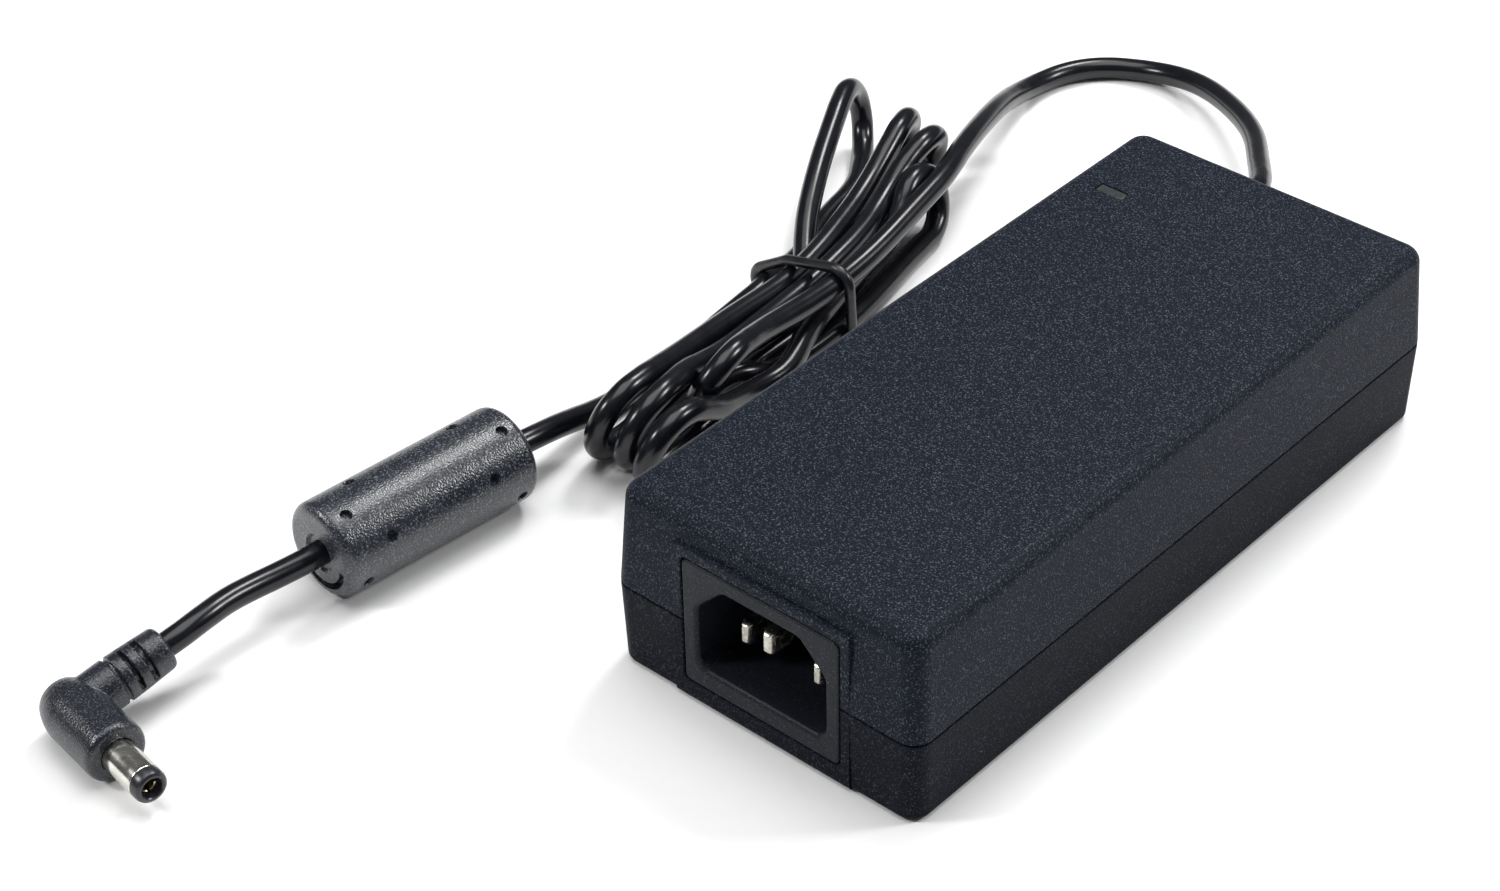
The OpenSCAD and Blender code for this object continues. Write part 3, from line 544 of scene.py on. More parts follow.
dustTone = (0.32, 0.33, 0.36)
looks = {
    # casing_base holds casing_top's colours at about 0.7 of their brightness: painted shade for the casing's lower
    # sides; casing_top's bright flecks are partly painted glints for the speckled highlights along its front
    "casing_top": {"tone": (0.0055, 0.0075, 0.0125), "lift": (0.0120, 0.0155, 0.0235), "grain": 0.28,
                   "fleckAndGlint": (0.072, 0.084, 0.110), "fleckAndGlintSize": 0.27, "fleckAndGlintRange": (0.585, 0.68),
                   "patch": 34, "patchShare": 0.1,
                   "dust": dustTone, "dustGap": 9, "dustSize": 0.014,
                   "roughness": (0.42, 0.46), "sheenSize": 9, "bump": 0.075, "bumpSize": 0.28, "bumpStrength": 0.8,
                   "shader": {"Specular IOR Level": 0.05}},
    "casing_base": {"tone": (0.0040, 0.0054, 0.0090), "lift": (0.0085, 0.0108, 0.0162), "grain": 0.28,
                    "fleckAndGlint": (0.050, 0.058, 0.072), "fleckAndGlintSize": 0.27, "fleckAndGlintRange": (0.6, 0.69),
                    "patch": 34, "patchShare": 0.1,
                    "dust": dustTone, "dustGap": 9, "dustSize": 0.014,
                    "roughness": (0.44, 0.48), "sheenSize": 9, "bump": 0.05, "bumpSize": 0.28,
                    "bumpStrength": 0.65, "shader": {"Specular IOR Level": 0.035}},
    "inlet_plastic": {"tone": (0.0060, 0.0076, 0.0115), "lift": (0.0115, 0.014, 0.0200), "grain": 0.3,
                      "fleckAndGlint": (0.04, 0.047, 0.058), "fleckAndGlintSize": 0.3, "fleckAndGlintRange": (0.62, 0.72),
                      "dust": (0.4, 0.41, 0.44), "dustGap": 3.2, "dustSize": 0.03,
                      "roughness": (0.40, 0.48), "bump": 0.03, "bumpStrength": 0.6,
                      "shader": {"Specular IOR Level": 0.16}},
    # ferrite_moulding's raised tone and very bright flecks are partly its grain and partly painted highlight,
    # standing in for the sleeve's bright speckled highlights
    "ferrite_moulding": {"tone": (0.0080, 0.0100, 0.0145), "lift": (0.0190, 0.0225, 0.0305), "grain": 0.3,
                         "fleckAndGlint": (0.13, 0.145, 0.175), "fleckAndGlintSize": 0.3, "fleckAndGlintRange": (0.57, 0.68),
                         "dust": dustTone, "dustGap": 9, "dustSize": 0.014,
                         "roughness": (0.26, 0.30), "bump": 0.085, "bumpSize": 0.3, "bumpDetail": 0.6,
                         "bumpStrength": 0.85, "shader": {"Specular IOR Level": 0.8}},
    "plug_moulding": {"tone": (0.0050, 0.0062, 0.0098), "lift": (0.0125, 0.0150, 0.0215), "grain": 0.28,
                      "fleckAndGlint": (0.085, 0.096, 0.12), "fleckAndGlintSize": 0.27, "fleckAndGlintRange": (0.58, 0.68),
                      "dust": dustTone, "dustGap": 8, "dustSize": 0.016,
                      "roughness": (0.28, 0.33), "bump": 0.08, "bumpSize": 0.28, "bumpDetail": 0.6,
                      "bumpStrength": 0.8, "shader": {"Specular IOR Level": 0.6}},
    "relief": {"tone": (0.0052, 0.006, 0.009), "lift": (0.010, 0.0115, 0.016), "grain": 0.35,
               "roughness": (0.38, 0.46), "bump": 0.04, "dust": dustTone, "dustGap": 9, "dustSize": 0.016,
               "shader": {"Specular IOR Level": 0.35}},
    "cord_jacket": {"tone": (0.0030, 0.0034, 0.0056), "lift": (0.0058, 0.0064, 0.0096), "grain": 2.6,
                    "dust": (0.25, 0.25, 0.27), "dustGap": 9, "dustSize": 0.014,
                    "roughness": (0.21, 0.26), "sheenSize": 4, "bump": 0.003, "bumpSize": 0.5,
                    "bumpStrength": 0.5, "wave": 0.03, "waveSize": 7,
                    "shader": {"IOR": 1.5, "Specular IOR Level": 0.42}},
    "tie": {"tone": (0.0048, 0.0052, 0.0075), "lift": (0.0095, 0.0102, 0.0138), "grain": 1.1,
            "roughness": (0.24, 0.38), "bump": 0.02},
    "lens": {"tone": (0.030, 0.034, 0.036), "lift": (0.050, 0.055, 0.058), "grain": 0.5,
             "roughness": (0.3, 0.42), "bump": 0.03,
             "shader": {"Transmission Weight": 0.25, "IOR": 1.49, "Specular IOR Level": 0.25}},
    "nickel_contact": {"tone": (0.60, 0.57, 0.50), "lift": (0.80, 0.78, 0.71), "grain": 0.7,
                       "patch": 2.5, "patchTone": (0.46, 0.42, 0.34), "patchShare": 0.5,
                       "roughness": (0.16, 0.32), "sheenSize": 1.2, "bump": 0.012, "shader": {"Metallic": 1.0}},
    "nickel_plate": {"tone": (0.66, 0.65, 0.60), "lift": (0.84, 0.83, 0.79), "grain": 1.6,
                     "patch": 3.2, "patchTone": (0.52, 0.48, 0.40), "patchShare": 0.55,
                     "roughness": (0.12, 0.26), "sheenSize": 1.4, "bump": 0.012, "bumpSize": 0.5,
                     "shader": {"Metallic": 1.0}},
    "plug_tip": {"tone": (0.010, 0.011, 0.015), "lift": (0.020, 0.022, 0.028), "grain": 0.5,
                 "roughness": (0.2, 0.32), "bump": 0.012},
    "spring_contact": {"tone": (0.55, 0.43, 0.22), "lift": (0.74, 0.62, 0.38), "grain": 0.6,
                       "patch": 1.6, "patchTone": (0.5, 0.48, 0.42), "roughness": (0.18, 0.34), "bump": 0.01,
                       "shader": {"Metallic": 1.0}},
    "label": {"tone": (0.030, 0.032, 0.037), "lift": (0.046, 0.049, 0.055), "grain": 0.3,
              "roughness": (0.42, 0.56), "bump": 0.015, "patchTone": (0.055, 0.057, 0.062)},
    "board": {"tone": (0.012, 0.075, 0.028), "lift": (0.022, 0.12, 0.045), "grain": 0.55,
              "roughness": (0.3, 0.42), "bump": 0.02},
    "sheet": {"tone": (0.60, 0.56, 0.43), "lift": (0.72, 0.69, 0.56), "grain": 0.8,
              "roughness": (0.45, 0.6), "bump": 0.03},
    "fuse_case": {"tone": (0.085, 0.038, 0.016), "lift": (0.15, 0.075, 0.035), "grain": 0.5,
                  "roughness": (0.35, 0.5), "bump": 0.02},
    "disc_blue": {"tone": (0.02, 0.09, 0.26), "lift": (0.04, 0.15, 0.38), "grain": 0.6,
                  "roughness": (0.25, 0.4), "bump": 0.03},
    "film_yellow": {"tone": (0.55, 0.36, 0.05), "lift": (0.70, 0.50, 0.10), "grain": 0.6,
                    "roughness": (0.3, 0.45), "bump": 0.02},
    "ferrite": {"tone": (0.030, 0.031, 0.034), "lift": (0.060, 0.061, 0.065), "grain": 0.25,
                "roughness": (0.5, 0.68), "bump": 0.04},
    "copper_wire": {"tone": (0.52, 0.17, 0.06), "lift": (0.72, 0.29, 0.12), "grain": 0.5,
                    "roughness": (0.2, 0.34), "bump": 0.05, "shader": {"Metallic": 0.85}},
    "package_black": {"tone": (0.010, 0.010, 0.011), "lift": (0.022, 0.022, 0.023), "grain": 0.3,
                      "roughness": (0.45, 0.6), "bump": 0.02},
    "package_white": {"tone": (0.62, 0.60, 0.54), "lift": (0.74, 0.72, 0.67), "grain": 0.4,
                      "roughness": (0.4, 0.55), "bump": 0.02},
    "capacitor_sleeve": {"tone": (0.014, 0.024, 0.075), "lift": (0.026, 0.042, 0.12), "grain": 0.8,
                         "roughness": (0.2, 0.34), "bump": 0.015},
    "heatsink": {"tone": (0.50, 0.51, 0.52), "lift": (0.66, 0.67, 0.68), "grain": 0.5,
                 "roughness": (0.28, 0.45), "bump": 0.015, "shader": {"Metallic": 1.0}},
    "winding_tape": {"tone": (0.58, 0.37, 0.06), "lift": (0.72, 0.50, 0.12), "grain": 1.2,
                     "roughness": (0.25, 0.4), "bump": 0.03},
    "steel": {"tone": (0.42, 0.42, 0.43), "lift": (0.60, 0.60, 0.61), "grain": 0.4,
              "roughness": (0.22, 0.38), "bump": 0.012, "shader": {"Metallic": 1.0}},
    "led_green": {"tone": (0.22, 0.55, 0.20), "lift": (0.34, 0.70, 0.32), "grain": 0.5,
                  "roughness": (0.12, 0.22), "bump": 0.01, "shader": {"Transmission Weight": 0.4}},
    "wire_brown": {"tone": (0.10, 0.040, 0.015), "lift": (0.15, 0.065, 0.028), "grain": 0.7,
                   "roughness": (0.3, 0.42), "bump": 0.015},
    "wire_blue": {"tone": (0.015, 0.085, 0.30), "lift": (0.03, 0.13, 0.40), "grain": 0.7,
                  "roughness": (0.3, 0.42), "bump": 0.015},
    "wire_green": {"tone": (0.06, 0.24, 0.035), "lift": (0.50, 0.50, 0.05), "grain": 1.4,
                   "roughness": (0.3, 0.42), "bump": 0.015},
    "wire_red": {"tone": (0.34, 0.018, 0.016), "lift": (0.46, 0.035, 0.03), "grain": 0.7,
                 "roughness": (0.3, 0.42), "bump": 0.015},
    "wire_black": {"tone": (0.010, 0.010, 0.011), "lift": (0.020, 0.020, 0.022), "grain": 0.7,
                   "roughness": (0.3, 0.42), "bump": 0.015},
}
finishes = {name: newFinish(name, look) for name, look in looks.items()}
for row in frame["record"]["subparts"]:
    node = bpy.data.objects[row["node"]]
    for materialSlot in node.material_slots:
        materialSlot.material = finishes[row["material_slot"]]
print("finishes made", len(finishes))

# ---- floor and lights

studio = {"floorSize": 6, "floorDown": 0.0001, "sky": 0.12, "target": (-0.035, 0, 0),
          "floor": {"tone": (0.955, 0.955, 0.957), "lift": (0.965, 0.965, 0.966), "grain": 3,
                    "roughness": (0.75, 0.85), "bump": 0.002, "shader": {"Specular IOR Level": 0.2}}}
lamps = {"above": {"size": 0.8, "power": 7.0, "spot": (-0.05, 0.02, 0.95)},
         "back": {"size": 0.2, "power": 3.0, "spot": (-0.12, 0.5, 0.72)},
         "right": {"size": 0.18, "power": 3.4, "spot": (0.5, 0.53, 0.54)},
         "front": {"size": 0.16, "power": 3.6, "spot": (-0.5, -0.6, 0.6)}}


def addFloor():
    rest()
    bpy.ops.mesh.primitive_plane_add(size=studio["floorSize"], location=(0, 0, -studio["floorDown"]))
    floor = placed(bpy.context.object)
    floor.name = "floor"
    floor.data.materials.append(newFinish("floor_paper", studio["floor"]))


def addLight(name, lamp):
    data = bpy.data.lights.new(name, "AREA")
    data.shape, data.size, data.energy = "SQUARE", lamp["size"], lamp["power"]
    light = bpy.data.objects.new(name, data)
    bpy.context.collection.objects.link(light)
    spot = Vector(lamp["spot"])
    light.location = spot
    light.rotation_euler = (Vector(studio["target"]) - spot).to_track_quat("-Z", "Y").to_euler()


def addSky():
    world = bpy.data.worlds.new("sky")
    world.use_nodes = True
    backdrop = world.node_tree.nodes["Background"]
    backdrop.inputs["Color"].default_value = (1, 1, 1, 1)
    backdrop.inputs["Strength"].default_value = studio["sky"]
    bpy.context.scene.world = world
    bpy.context.scene.view_settings.view_transform = "Standard"


addFloor()
for lampName, lamp in lamps.items():
    addLight(lampName, lamp)
addSky()
print("floor and lights placed")

# ---- casing

casing = {"width": 59, "length": 131, "height": 33.4, "seam": 15.1, "groove": 0.3, "wall": 2.2,
          "draftTop": 1.1, "draftBase": 0.4, "corner": 3.2, "topEdge": 2.4, "baseEdge": 1.2, "seamEdge": 0.2,
          "surroundWidth": 34, "surroundTop": 29.2, "surroundDepth": 2, "surroundCorner": 0.6,
          "surroundFoot": 1.2, "surroundEdge": 0.22, "surroundDown": 0.03,
          "pocket": (30.5, 23.5), "pocketMiddle": 15.5, "pocketInset": 0.3, "pocketDepth": 4.5,
          "pocketCorner": 1.2, "pocketRim": [(0.18, 0.04), (0.12, 0.14), (1, 0.3)],
          "exitRadius": 4, "exitReach": (-5, 1), "lip": (1.2, 2.2), "lipDeep": 1.4, "lipRise": 0.3,
          "lipCorner": 0.6, "seatIn": 1.08, "seatDeep": 1.6,
          "window": (-20, 45, 5.4, 2.2), "windowDeep": 5, "windowRimDeep": 0.2, "windowCorner": 0.3,
          "windowRim": [(0.14, 0.03), (0.1, 0.12), (1, 0.2)],
          "recess": (44.4, 80.4), "recessFrom": 0.15, "recessDeep": 0.4, "recessCorner": 2.2,
          "recessRim": [(0.13, 0.11), (1, 0.1)],
          "post": [(1.9, 2.4), (4.7, 2.4), (5, 2.1)], "posts": [(-22, -42.5), (22, -42.5), (-22, 58), (22, 58)]}


def shellForm(name, low, high, seamHeight, draft, edge, outward):
    # one half of the casing: outward is the way its closed face looks
    wide, long = casing["width"] / 2, casing["length"] / 2
    shell = addBox(name, (-wide, -long, low), (wide, long, high))
    pick(shell, "FACE", faces(outward))
    bpy.ops.transform.resize(value=(1 - draft / wide, 1 - draft / long, 1), center_override=(0, 0, 0))
    bevelEdges(shell, runs(zAxis), casing["corner"], 8)
    pick(shell, "FACE", faces(-outward))
    bpy.ops.mesh.delete(type="FACE")
    rest()
    useModifier(shell, "SOLIDIFY", thickness=casing["wall"] * mm, offset=-1, use_even_offset=True,
                use_quality_normals=True)
    # the wall's end is brought back to one flat rim
    pick(shell, "VERT", lambda vert: abs(vert.co.z - seamHeight * mm) < 0.5 * mm)
    bpy.ops.transform.resize(value=(1, 1, 0), center_override=(0, 0, seamHeight * mm))
    bevelEdges(shell, level(high if outward.z > 0 else low), edge, 7)
    bevelEdges(shell, both(level(seamHeight), lambda rim: all(onOutside(end.co) for end in rim.verts)),
               casing["seamEdge"], 3)
    return shell


def onOutside(spot):
    # on the outer half of the wall
    near = casing["wall"] / 2
    across = abs(spot.x) / mm - casing["width"] / 2
    along = abs(spot.y) / mm - casing["length"] / 2
    inCorner = Vector((max(across + casing["corner"], 0), max(along + casing["corner"], 0)))
    return max(across, along) > -near or (min(inCorner) > 0 and inCorner.length > casing["corner"] - near)


def surround(low, high):
    # the raised frame round the inlet, as one box on each shell
    half = casing["surroundWidth"] / 2
    front = -casing["length"] / 2
    block = addBox("surround", (-half, front, low), (half, front + casing["surroundDepth"], high))
    if low > 0:
        bevelEdges(block, both(runs(yAxis), lambda edge: edge.verts[0].co.z > (high - 1) * mm),
                   casing["surroundCorner"], 2)
    else:
        bevelEdges(block, both(onFront, level(low)), casing["surroundFoot"], 5)
    bevelEdges(block, onFront, casing["surroundEdge"], 2)
    return block


def pocketTool():
    wide, high = casing["pocket"][0] / 2, casing["pocket"][1] / 2
    middle, front = casing["pocketMiddle"], -casing["length"] / 2
    tool = addBox("pocket", (-wide, front + casing["pocketInset"], middle - high),
                  (wide, front + casing["pocketDepth"], middle + high))
    bevelEdges(tool, runs(yAxis), casing["pocketCorner"], 5)
    growEnd(tool, -yAxis, casing["pocketRim"])
    return tool


def exitTool():
    outline = [(along, casing["exitRadius"]) for along in casing["exitReach"]]
    return turned("exitHole", outline, frameAt(cord["exit"], yAxis))


def makeLip(low, high):
    # the tongue that stands down from the top shell into the bottom one
    start, end = casing["lip"]
    wide, long, corner = casing["width"] / 2, casing["length"] / 2, casing["corner"]
    wall = addBox("lip", (start - wide, start - long, low), (wide - start, long - start, high))
    bevelEdges(wall, runs(zAxis), corner - start, 6)
    inner = addBox("inner", (end - wide, end - long, low - 1), (wide - end, long - end, high + 1))
    bevelEdges(inner, runs(zAxis), max(corner - end, casing["lipCorner"]), 5)
    combine(wall, inner)
    return wall


def makeTopShell():
    low, top = casing["seam"] + casing["groove"] / 2, casing["height"]
    shell = shellForm("topShell", low, top, low, casing["draftTop"], casing["topEdge"], zAxis)
    combine(shell, surround(low, casing["surroundTop"]), "UNION")
    combine(shell, makeLip(casing["seam"] - casing["lipDeep"], low + casing["lipRise"]), "UNION")
    combine(shell, pocketTool())
    combine(shell, exitTool())
    x, y, wide, long = casing["window"]
    hole = addBox("windowHole", (x - wide / 2, y - long / 2, top - casing["windowDeep"]),
                  (x + wide / 2, y + long / 2, top - casing["windowRimDeep"]))
    bevelEdges(hole, runs(zAxis), casing["windowCorner"], 3)
    growEnd(hole, zAxis, casing["windowRim"])
    combine(shell, hole)
    keep(finished(shell), "casing_top", "top_shell")


def makeBottomShell():
    high = casing["seam"] - casing["groove"] / 2
    shell = shellForm("bottomShell", 0, high, high, casing["draftBase"], casing["baseEdge"], -zAxis)
    combine(shell, surround(0, high - casing["surroundDown"]), "UNION")
    wide, long = casing["width"] / 2 - casing["seatIn"], casing["length"] / 2 - casing["seatIn"]
    seat = addBox("lipSeat", (-wide, -long, casing["seam"] - casing["seatDeep"]), (wide, long, casing["seam"] + 1))
    bevelEdges(seat, runs(zAxis), casing["corner"] - casing["seatIn"], 6)
    combine(shell, seat)
    for x, y in casing["posts"]:
        combine(shell, turned("post", casing["post"], Matrix.Translation((x * mm, y * mm, 0)), 32), "UNION")
    combine(shell, pocketTool())
    combine(shell, exitTool())
    wide, long = casing["recess"]
    recess = addBox("labelRecess", (-wide / 2, -long / 2, casing["recessFrom"]),
                    (wide / 2, long / 2, casing["recessDeep"]))
    bevelEdges(recess, runs(zAxis), casing["recessCorner"], 6)
    growEnd(recess, -zAxis, casing["recessRim"])
    combine(shell, recess)
    keep(finished(shell), "casing_base", "bottom_shell")


makeTopShell()
makeBottomShell()
print("casing made")

# ---- indicator window

window = {"low": 30.9, "high": 33.25, "size": (5.2, 2.0), "corner": 0.28, "edge": 0.18,
          "flange": 1.0, "flangeLow": 30, "flangeHigh": 31.15, "flangeCorner": 0.5,
          "pipe": [(28.4, 1.0), (28.9, 1.4), (30.4, 1.4)]}


def makeLens():
    x, y = casing["window"][:2]
    wide, long = window["size"][0] / 2, window["size"][1] / 2
    lens = addBox("indicatorLens", (x - wide, y - long, window["low"]), (x + wide, y + long, window["high"]))
    bevelEdges(lens, runs(zAxis), window["corner"], 3)
    bevelEdges(lens, level(window["high"]), window["edge"], 3)
    grow = window["flange"]
    flange = addBox("flange", (x - wide - grow, y - long - grow, window["flangeLow"]),
                    (x + wide + grow, y + long + grow, window["flangeHigh"]))
    bevelEdges(flange, runs(zAxis), window["flangeCorner"], 3)
    combine(lens, flange, "UNION")
    combine(lens, turned("pipe", window["pipe"], Matrix.Translation((x * mm, y * mm, 0)), 32), "UNION")
    keep(finished(lens), "lens", "led_lens")


makeLens()
print("indicator window made")

# ---- mains inlet

inlet = {"plate": (30, 23), "plateMiddle": 15.5, "plateThick": 3, "plateCorner": 1.0, "plateEdge": 0.35,
         "mouth": (24.6, 16.5), "mouthMiddle": 15.75, "mouthFrom": 0.7, "mouthDeep": 16.5, "mouthChamfer": 5,
         "mouthRound": 2.2, "chamferSoft": 0.9, "socketFrom": 2.5, "socketWall": 1.6, "backWall": 2,
         "socketCorner": 2, "earOut": 1.5, "earIn": 0.5, "earFrom": 3.1, "earTo": 4.4, "earCorner": 1,
         "rim": [(0.1, 0.02), (0.16, 0.07), (0.18, 0.16), (0.16, 0.25), (0.1, 0.3), (1, 0)]}
contact = {"wide": 2, "high": 4, "back": 22.7, "edge": 0.22, "tipLength": 1.1, "holeGap": 0.02,
           "tip": [(0.35, -0.08), (0.35, -0.16), (0.25, -0.16), (0.15, -0.18)],
           "pins": {"linePin": (-7, 13.8, 4.5, "line_pin"), "neutralPin": (7, 13.8, 4.5, "neutral_pin"),
                    "earthPin": (0, 17.8, 1.5, "earth_pin")}}


def inletBox(name, across, tall, middle, start, end):
    # a box about the casing's middle; start and end are measured back from the inlet end
    front = -casing["length"] / 2
    return addBox(name, (-across, front + start, middle - tall), (across, front + end, middle + tall))


def makeInlet():
    wide, high = inlet["plate"][0] / 2, inlet["plate"][1] / 2
    middle, centre = inlet["plateMiddle"], inlet["mouthMiddle"]
    housing = inletBox("inletHousing", wide, high, middle, 0, inlet["plateThick"])
    bevelEdges(housing, runs(yAxis), inlet["plateCorner"], 5)
    bevelEdges(housing, onFront, inlet["plateEdge"], 3)
    across, tall = inlet["mouth"][0] / 2, inlet["mouth"][1] / 2
    socket = inletBox("socket", across + inlet["socketWall"], tall + inlet["socketWall"], centre,
                      inlet["socketFrom"], inlet["mouthDeep"] + inlet["backWall"])
    bevelEdges(socket, runs(yAxis), inlet["socketCorner"], 6)
    combine(housing, socket, "UNION")
    ears = inletBox("ears", wide + inlet["earOut"], high - inlet["earIn"], middle,
                    inlet["earFrom"], inlet["earTo"])
    bevelEdges(ears, runs(yAxis), inlet["earCorner"], 4)
    combine(housing, ears, "UNION")
    mouth = inletBox("mouth", across, tall, centre, inlet["mouthFrom"], inlet["mouthDeep"])
    upper = both(runs(yAxis), lambda edge: edge.verts[0].co.z > centre * mm)
    bevelEdges(mouth, upper, inlet["mouthChamfer"], 1)
    bevelEdges(mouth, upper, inlet["chamferSoft"], 4)
    bevelEdges(mouth, both(runs(yAxis), lambda edge: edge.verts[0].co.z < (centre - tall + 0.1) * mm),
               inlet["mouthRound"], 8)
    growEnd(mouth, -yAxis, inlet["rim"])
    combine(housing, mouth)
    back = inlet["mouthDeep"] - casing["length"] / 2
    across, tall = contact["wide"] / 2 + contact["holeGap"], contact["high"] / 2 + contact["holeGap"]
    for x, z, _, _ in contact["pins"].values():
        combine(housing, addBox("pinHole", (x - across, back - 0.5, z - tall), (x + across, back + 3, z + tall)))
    keep(finished(housing), "inlet_plastic", "inlet_housing")


def makePin(name, x, z, tip, node):
    # tip is how far its end stands back from the inlet end
    front = -casing["length"] / 2
    wide, high = contact["wide"] / 2, contact["high"] / 2
    pin = addBox(name, (x - wide, front + tip + contact["tipLength"], z - high),
                 (x + wide, front + contact["back"], z + high))
    bevelEdges(pin, runs(yAxis), contact["edge"], 3)
    growEnd(pin, -yAxis, contact["tip"])
    keep(finished(pin, 30), "nickel_contact", node)


makeInlet()
for pinName, facts in contact["pins"].items():
    makePin(pinName, *facts)
print("mains inlet made")

# ---- strain relief

relief = {"back": -4.4, "length": 18.4, "sides": 56, "ribs": 4, "ribPitch": 2.6, "ribFrom": 7,
          "ribRadius": 4.1, "ribTaper": 0.32, "grooveDeep": 0.8,
          "collar": [(0, 5.0), (0.15, 5.2), (1.35, 5.2), (1.5, 5.05), (1.5, 3.9), (4.5, 3.9), (4.5, 4.8),
                     (4.65, 5), (5.5, 5), (5.8, 4.8), (6.0, 4.35)],
          "end": [(-0.6, 2.85), (-0.2, 2.7), (0, 2.35)]}


def makeRelief():
    outline = list(relief["collar"])
    for i in range(relief["ribs"]):
        at, radius = relief["ribFrom"] + relief["ribPitch"] * i, relief["ribRadius"] - relief["ribTaper"] * i
        deep = radius - relief["grooveDeep"]
        outline += [(at - 0.12, radius + 0.02), (at, radius - 0.1), (at + 0.06, deep + 0.1), (at + 0.2, deep),
                    (at + 0.85, deep), (at + 1.0, deep + 0.1), (at + 1.06, radius - 0.2),
                    (at + 1.2, radius - 0.08)]
    outline += [(relief["length"] + on, wide) for on, wide in relief["end"]]
    place = frameAt((cord["exit"][0], cord["exit"][1] + relief["back"], cord["exit"][2]), yAxis)
    piece = turned("strainRelief", outline, place, relief["sides"])
    keep(finished(piece, 30), "relief", "strain_relief")
    return piece


reliefPiece = makeRelief()
print("strain relief made")

# ---- cable tie

tie = {"y": 20, "radius": 0.95, "gap": 0.02, "around": 28, "roundSteps": 7, "belowX": -50}


def hullOf(points):
    # the outline of flat points, as a band pulled tight round them
    points = sorted(set(points))

    def half(row):
        chain = []
        for point in row:
            while len(chain) > 1 and ((chain[-1][0] - chain[-2][0]) * (point[1] - chain[-2][1])
                                      - (chain[-1][1] - chain[-2][1]) * (point[0] - chain[-2][0])) <= 0:
                chain.pop()
            chain.append(point)
        return chain[:-1]
    return half(points) + half(points[::-1])


def makeTie():
    # one loop pulled round the runs of the cord where they cross its plane
    crossings = []
    for first, second in zip(settled[:-1], settled[1:]):
        if (first[1] - tie["y"]) * (second[1] - tie["y"]) <= 0 and first[0] < tie["belowX"]:
            share = (tie["y"] - first[1]) / (second[1] - first[1])
            crossings.append(first + share * (second - first))
    reach = cord["diameter"] / 2 + tie["radius"] + tie["gap"]
    ring = [(round(spot[0] + reach * cos(2 * pi * k / tie["around"]), 4),
             round(max(spot[2] + reach * sin(2 * pi * k / tie["around"]), tie["radius"] + tie["gap"]), 4))
            for spot in crossings for k in range(tie["around"])]
    loop = hullOf(ring)
    data = bpy.data.curves.new("cableTie", "CURVE")
    data.dimensions, data.bevel_depth, data.bevel_resolution = "3D", tie["radius"] * mm, tie["roundSteps"]
    spline = data.splines.new("POLY")
    spline.points.add(len(loop) - 1)
    for knot, (x, z) in zip(spline.points, loop):
        knot.co = (x * mm, tie["y"] * mm, z * mm, 1)
    spline.use_cyclic_u = True
    piece = bpy.data.objects.new("cableTie", data)
    bpy.context.collection.objects.link(piece)
    alone(piece)
    bpy.ops.object.convert(target="MESH")
    piece = bpy.context.object
    tidyMesh(piece)
    keep(finished(piece, 60), "tie", "cable_tie")
    return piece


tiePiece = makeTie()
print("cable tie made")

# ---- ferrite

ferrite = {"length": 38, "diameter": 16.4, "sides": 96, "rim": 1.8, "rimSteps": 7, "wall": 1.6, "bore": 2.1,
           "cavity": 4, "dish": (3.4, 2.9, 0.5), "pinCount": 8, "pinTurn": 24, "pinFrom": (3.6, 8.8),
           "pin": [(-1.1, 0.85), (-0.98, 0.95), (-0.22, 0.95), (-0.06, 1.02), (1, 1.25)],
           "groove": (5.2, 6.3), "grooveDeep": 1.6, "grooveStart": -115, "grooveSweep": 145}


def makeFerrite():
    half, radius, rim = ferrite["length"] / 2, ferrite["diameter"] / 2, ferrite["rim"]
    place = frameAt(cord["ferrite"], ferritePoint(1) - ferritePoint(0))
    bore, (dishOut, dishIn, dishDeep) = ferrite["bore"], ferrite["dish"]
    nearEnd = [(-half + dishDeep, bore), (-half + dishDeep, dishIn), (-half, dishOut), (-half, radius - rim)]
    farEnd = [(half, dishOut), (half - dishDeep, dishIn), (half - dishDeep, bore)]
    nearRim = [(-along, out) for along, out in arcOut(half - rim, radius - rim, rim, 0, 90, ferrite["rimSteps"])]
    farRim = arcOut(half - rim, radius - rim, rim, 90, 0, ferrite["rimSteps"])
    cavity, wall = half - ferrite["cavity"], radius - ferrite["wall"]
    inside = [(cavity, bore), (cavity, wall), (-cavity, wall), (-cavity, bore)]
    outline = nearEnd + nearRim[1:] + farRim + farEnd + inside
    sleeve = turned("ferriteSleeve", outline, place, ferrite["sides"], ring=True)
    # the marks of the mould's pins, in two rows round each end
    pin = [(radius + on, wide) for on, wide in ferrite["pin"]]
    for end in (-1, 1):
        for i in range(ferrite["pinCount"]):
            turn = radians(i * 360 / ferrite["pinCount"] + ferrite["pinTurn"])
            along = end * (half - ferrite["pinFrom"][i % 2])
            out = (Matrix.Rotation(turn, 4, "Z") @ Matrix.Translation((0, 0, along * mm))
                   @ Matrix.Rotation(pi / 2, 4, "Y"))
            combine(sleeve, turned("pinHole", pin, place @ out, 24))
    inner, outer = ferrite["groove"]
    groove = sector("groove", inner, outer, -half - 1, -half + ferrite["grooveDeep"],
                    ferrite["grooveStart"], ferrite["grooveSweep"], place, 40)
    combine(sleeve, groove)
    keep(finished(sleeve, 32), "ferrite_moulding", "ferrite_sleeve")
    return sleeve


ferritePiece = makeFerrite()
print("ferrite made")

# ---- plug

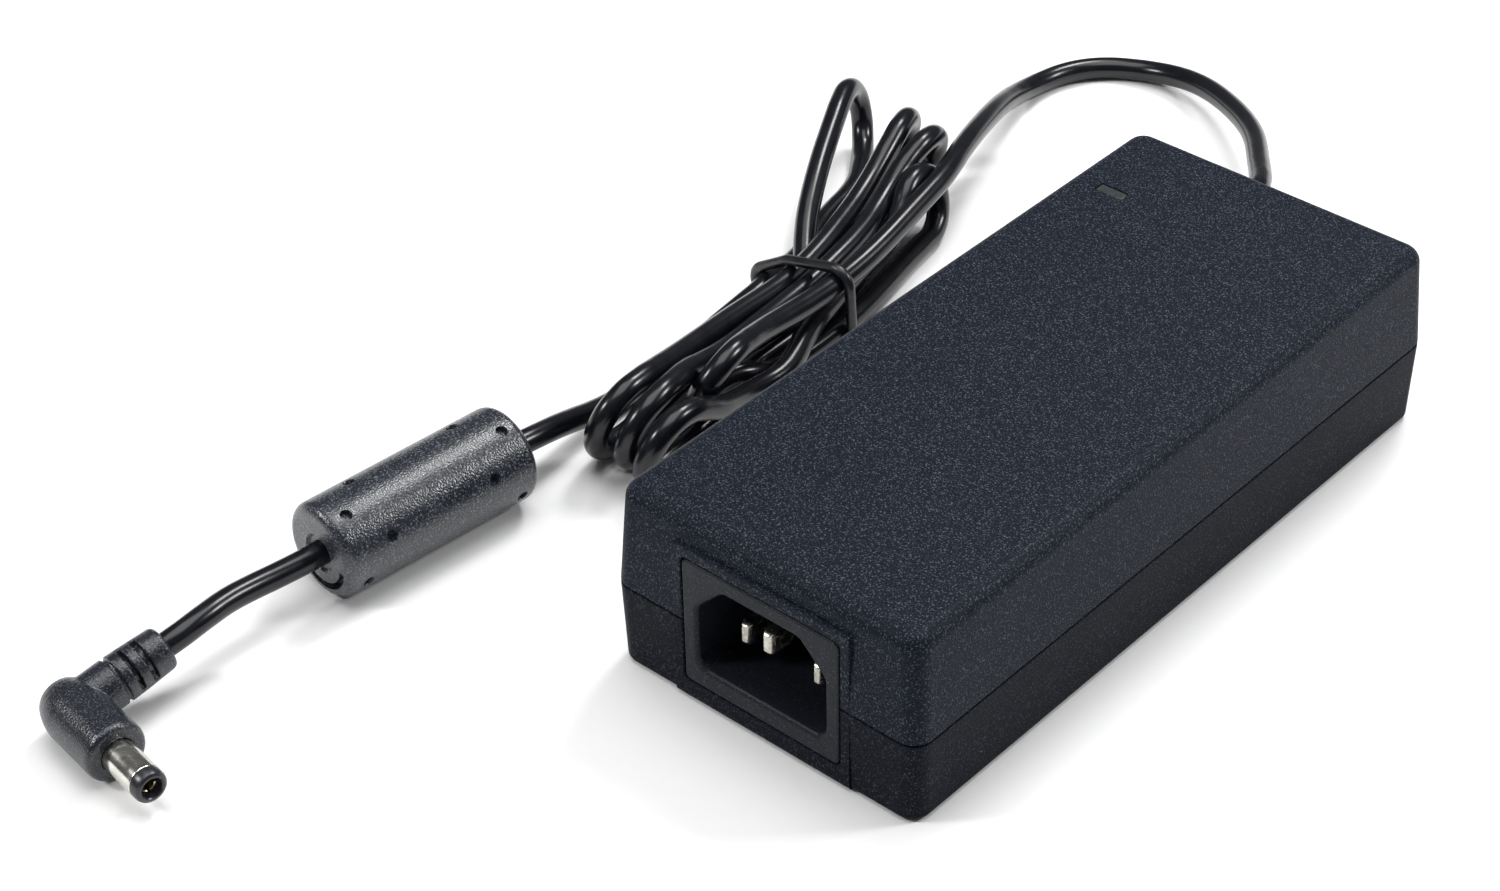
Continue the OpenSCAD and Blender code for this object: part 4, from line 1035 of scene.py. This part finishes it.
# outlines are (along, radius) stations from where the neck's axis crosses the barrel's
plug = {"body": [(-4.4, 2.1), (-4.3, 2.7), (-4.0, 3.3), (-3.4, 3.85), (-2.4, 4.3), (-1.1, 4.7), (0, 4.92),
                 (0.9, 5), (11.6, 5), (12.2, 4.85), (12.55, 4.5), (12.7, 4)],
        "neck": [(0.5, 3.9), (7.35, 3.95), (7.5, 3.5), (7.95, 3.5), (8.1, 3.95), (11.2, 3.85), (13.7, 3.72),
                 (15.9, 3.6), (16.35, 3.35), (16.6, 2.8)],
        "slots": [(9.7, 10.45), (12.05, 13.05)], "slotReach": (2.5, 7), "slotStarts": (-68, 112),
        "slotSweep": 136, "seat": [(2, 2.2), (10.6, 2.2), (10.6, 2.77), (15, 2.77)],
        "voxel": 0.16, "smoothing": 4,
        "barrel": [(10.8, 2.42), (10.8, 2.72), (13.1, 2.72), (13.2, 2.75), (19.95, 2.75), (20.13, 2.67),
                   (20.2, 2.55), (20.2, 2.42)],
        "tip": [(4, 1.45), (4, 2.18), (10.7, 2.18), (10.8, 2.4), (20.22, 2.4), (20.22, 2.62), (20.32, 2.72),
                (21.45, 2.72), (21.95, 2.54), (22.2, 2.15), (22.2, 1.85), (22, 1.68), (21.4, 1.6),
                (21.1, 1.45)],
        "spring": [(4.2, 0.3), (4.2, 1.45), (20.6, 1.45), (20.82, 1.37), (20.9, 1.25), (20.75, 1.1),
                   (20.4, 1.05), (6, 1.05), (6, 0.3)],
        "slit": ((-1.8, -0.21, 15.7), (1.8, 0.21, 21.7))}


def makePlug():
    neckWay = neckPoint(1) - neckPoint(0)
    bodyPlace, neckPlace = frameAt(cord["plug"], neckWay.cross(zAxis)), frameAt(cord["plug"], neckWay)
    body = turned("plugBody", plug["body"], bodyPlace, 72)
    combine(body, turned("neck", plug["neck"], neckPlace, 64), "UNION")
    inner, outer = plug["slotReach"]
    for low, high in plug["slots"]:
        for start in plug["slotStarts"]:
            combine(body, sector("slot", inner, outer, low, high, start, plug["slotSweep"], neckPlace, 16))
    combine(body, turned("barrelSeat", plug["seat"], bodyPlace, 48))
    # one skin over the joined forms, with the small rounding of a moulding
    useModifier(body, "REMESH", mode="VOXEL", voxel_size=plug["voxel"] * mm, use_smooth_shade=True)
    useModifier(body, "SMOOTH", factor=0.5, iterations=plug["smoothing"])
    alone(body)
    bpy.ops.object.shade_smooth()
    keep(body, "plug_moulding", "plug_body")

    barrel = turned("plugBarrel", plug["barrel"], bodyPlace, 64, ring=True)
    keep(finished(barrel, 30), "nickel_plate", "plug_barrel")
    tip = turned("plugTip", plug["tip"], bodyPlace, 64, ring=True)
    keep(finished(tip, 30), "plug_tip", "plug_insulator")
    spring = turned("plugContact", plug["spring"], bodyPlace, 40, ring=True)
    for turn in (0, pi / 2):
        slit = addBox("slit", *plug["slit"])
        combine(spring, placed(slit, bodyPlace @ Matrix.Rotation(turn, 4, "Z")))
    keep(finished(spring, 30), "spring_contact", "plug_contact")
    return [body, barrel, tip, spring]


plugPieces = makePlug()
print("plug made")

# ---- cord's facts

keep(cordPiece, "cord_jacket", "cord_lead", "cord_hank", "cord_tail", "cord_mid", "cord_end")

rest()
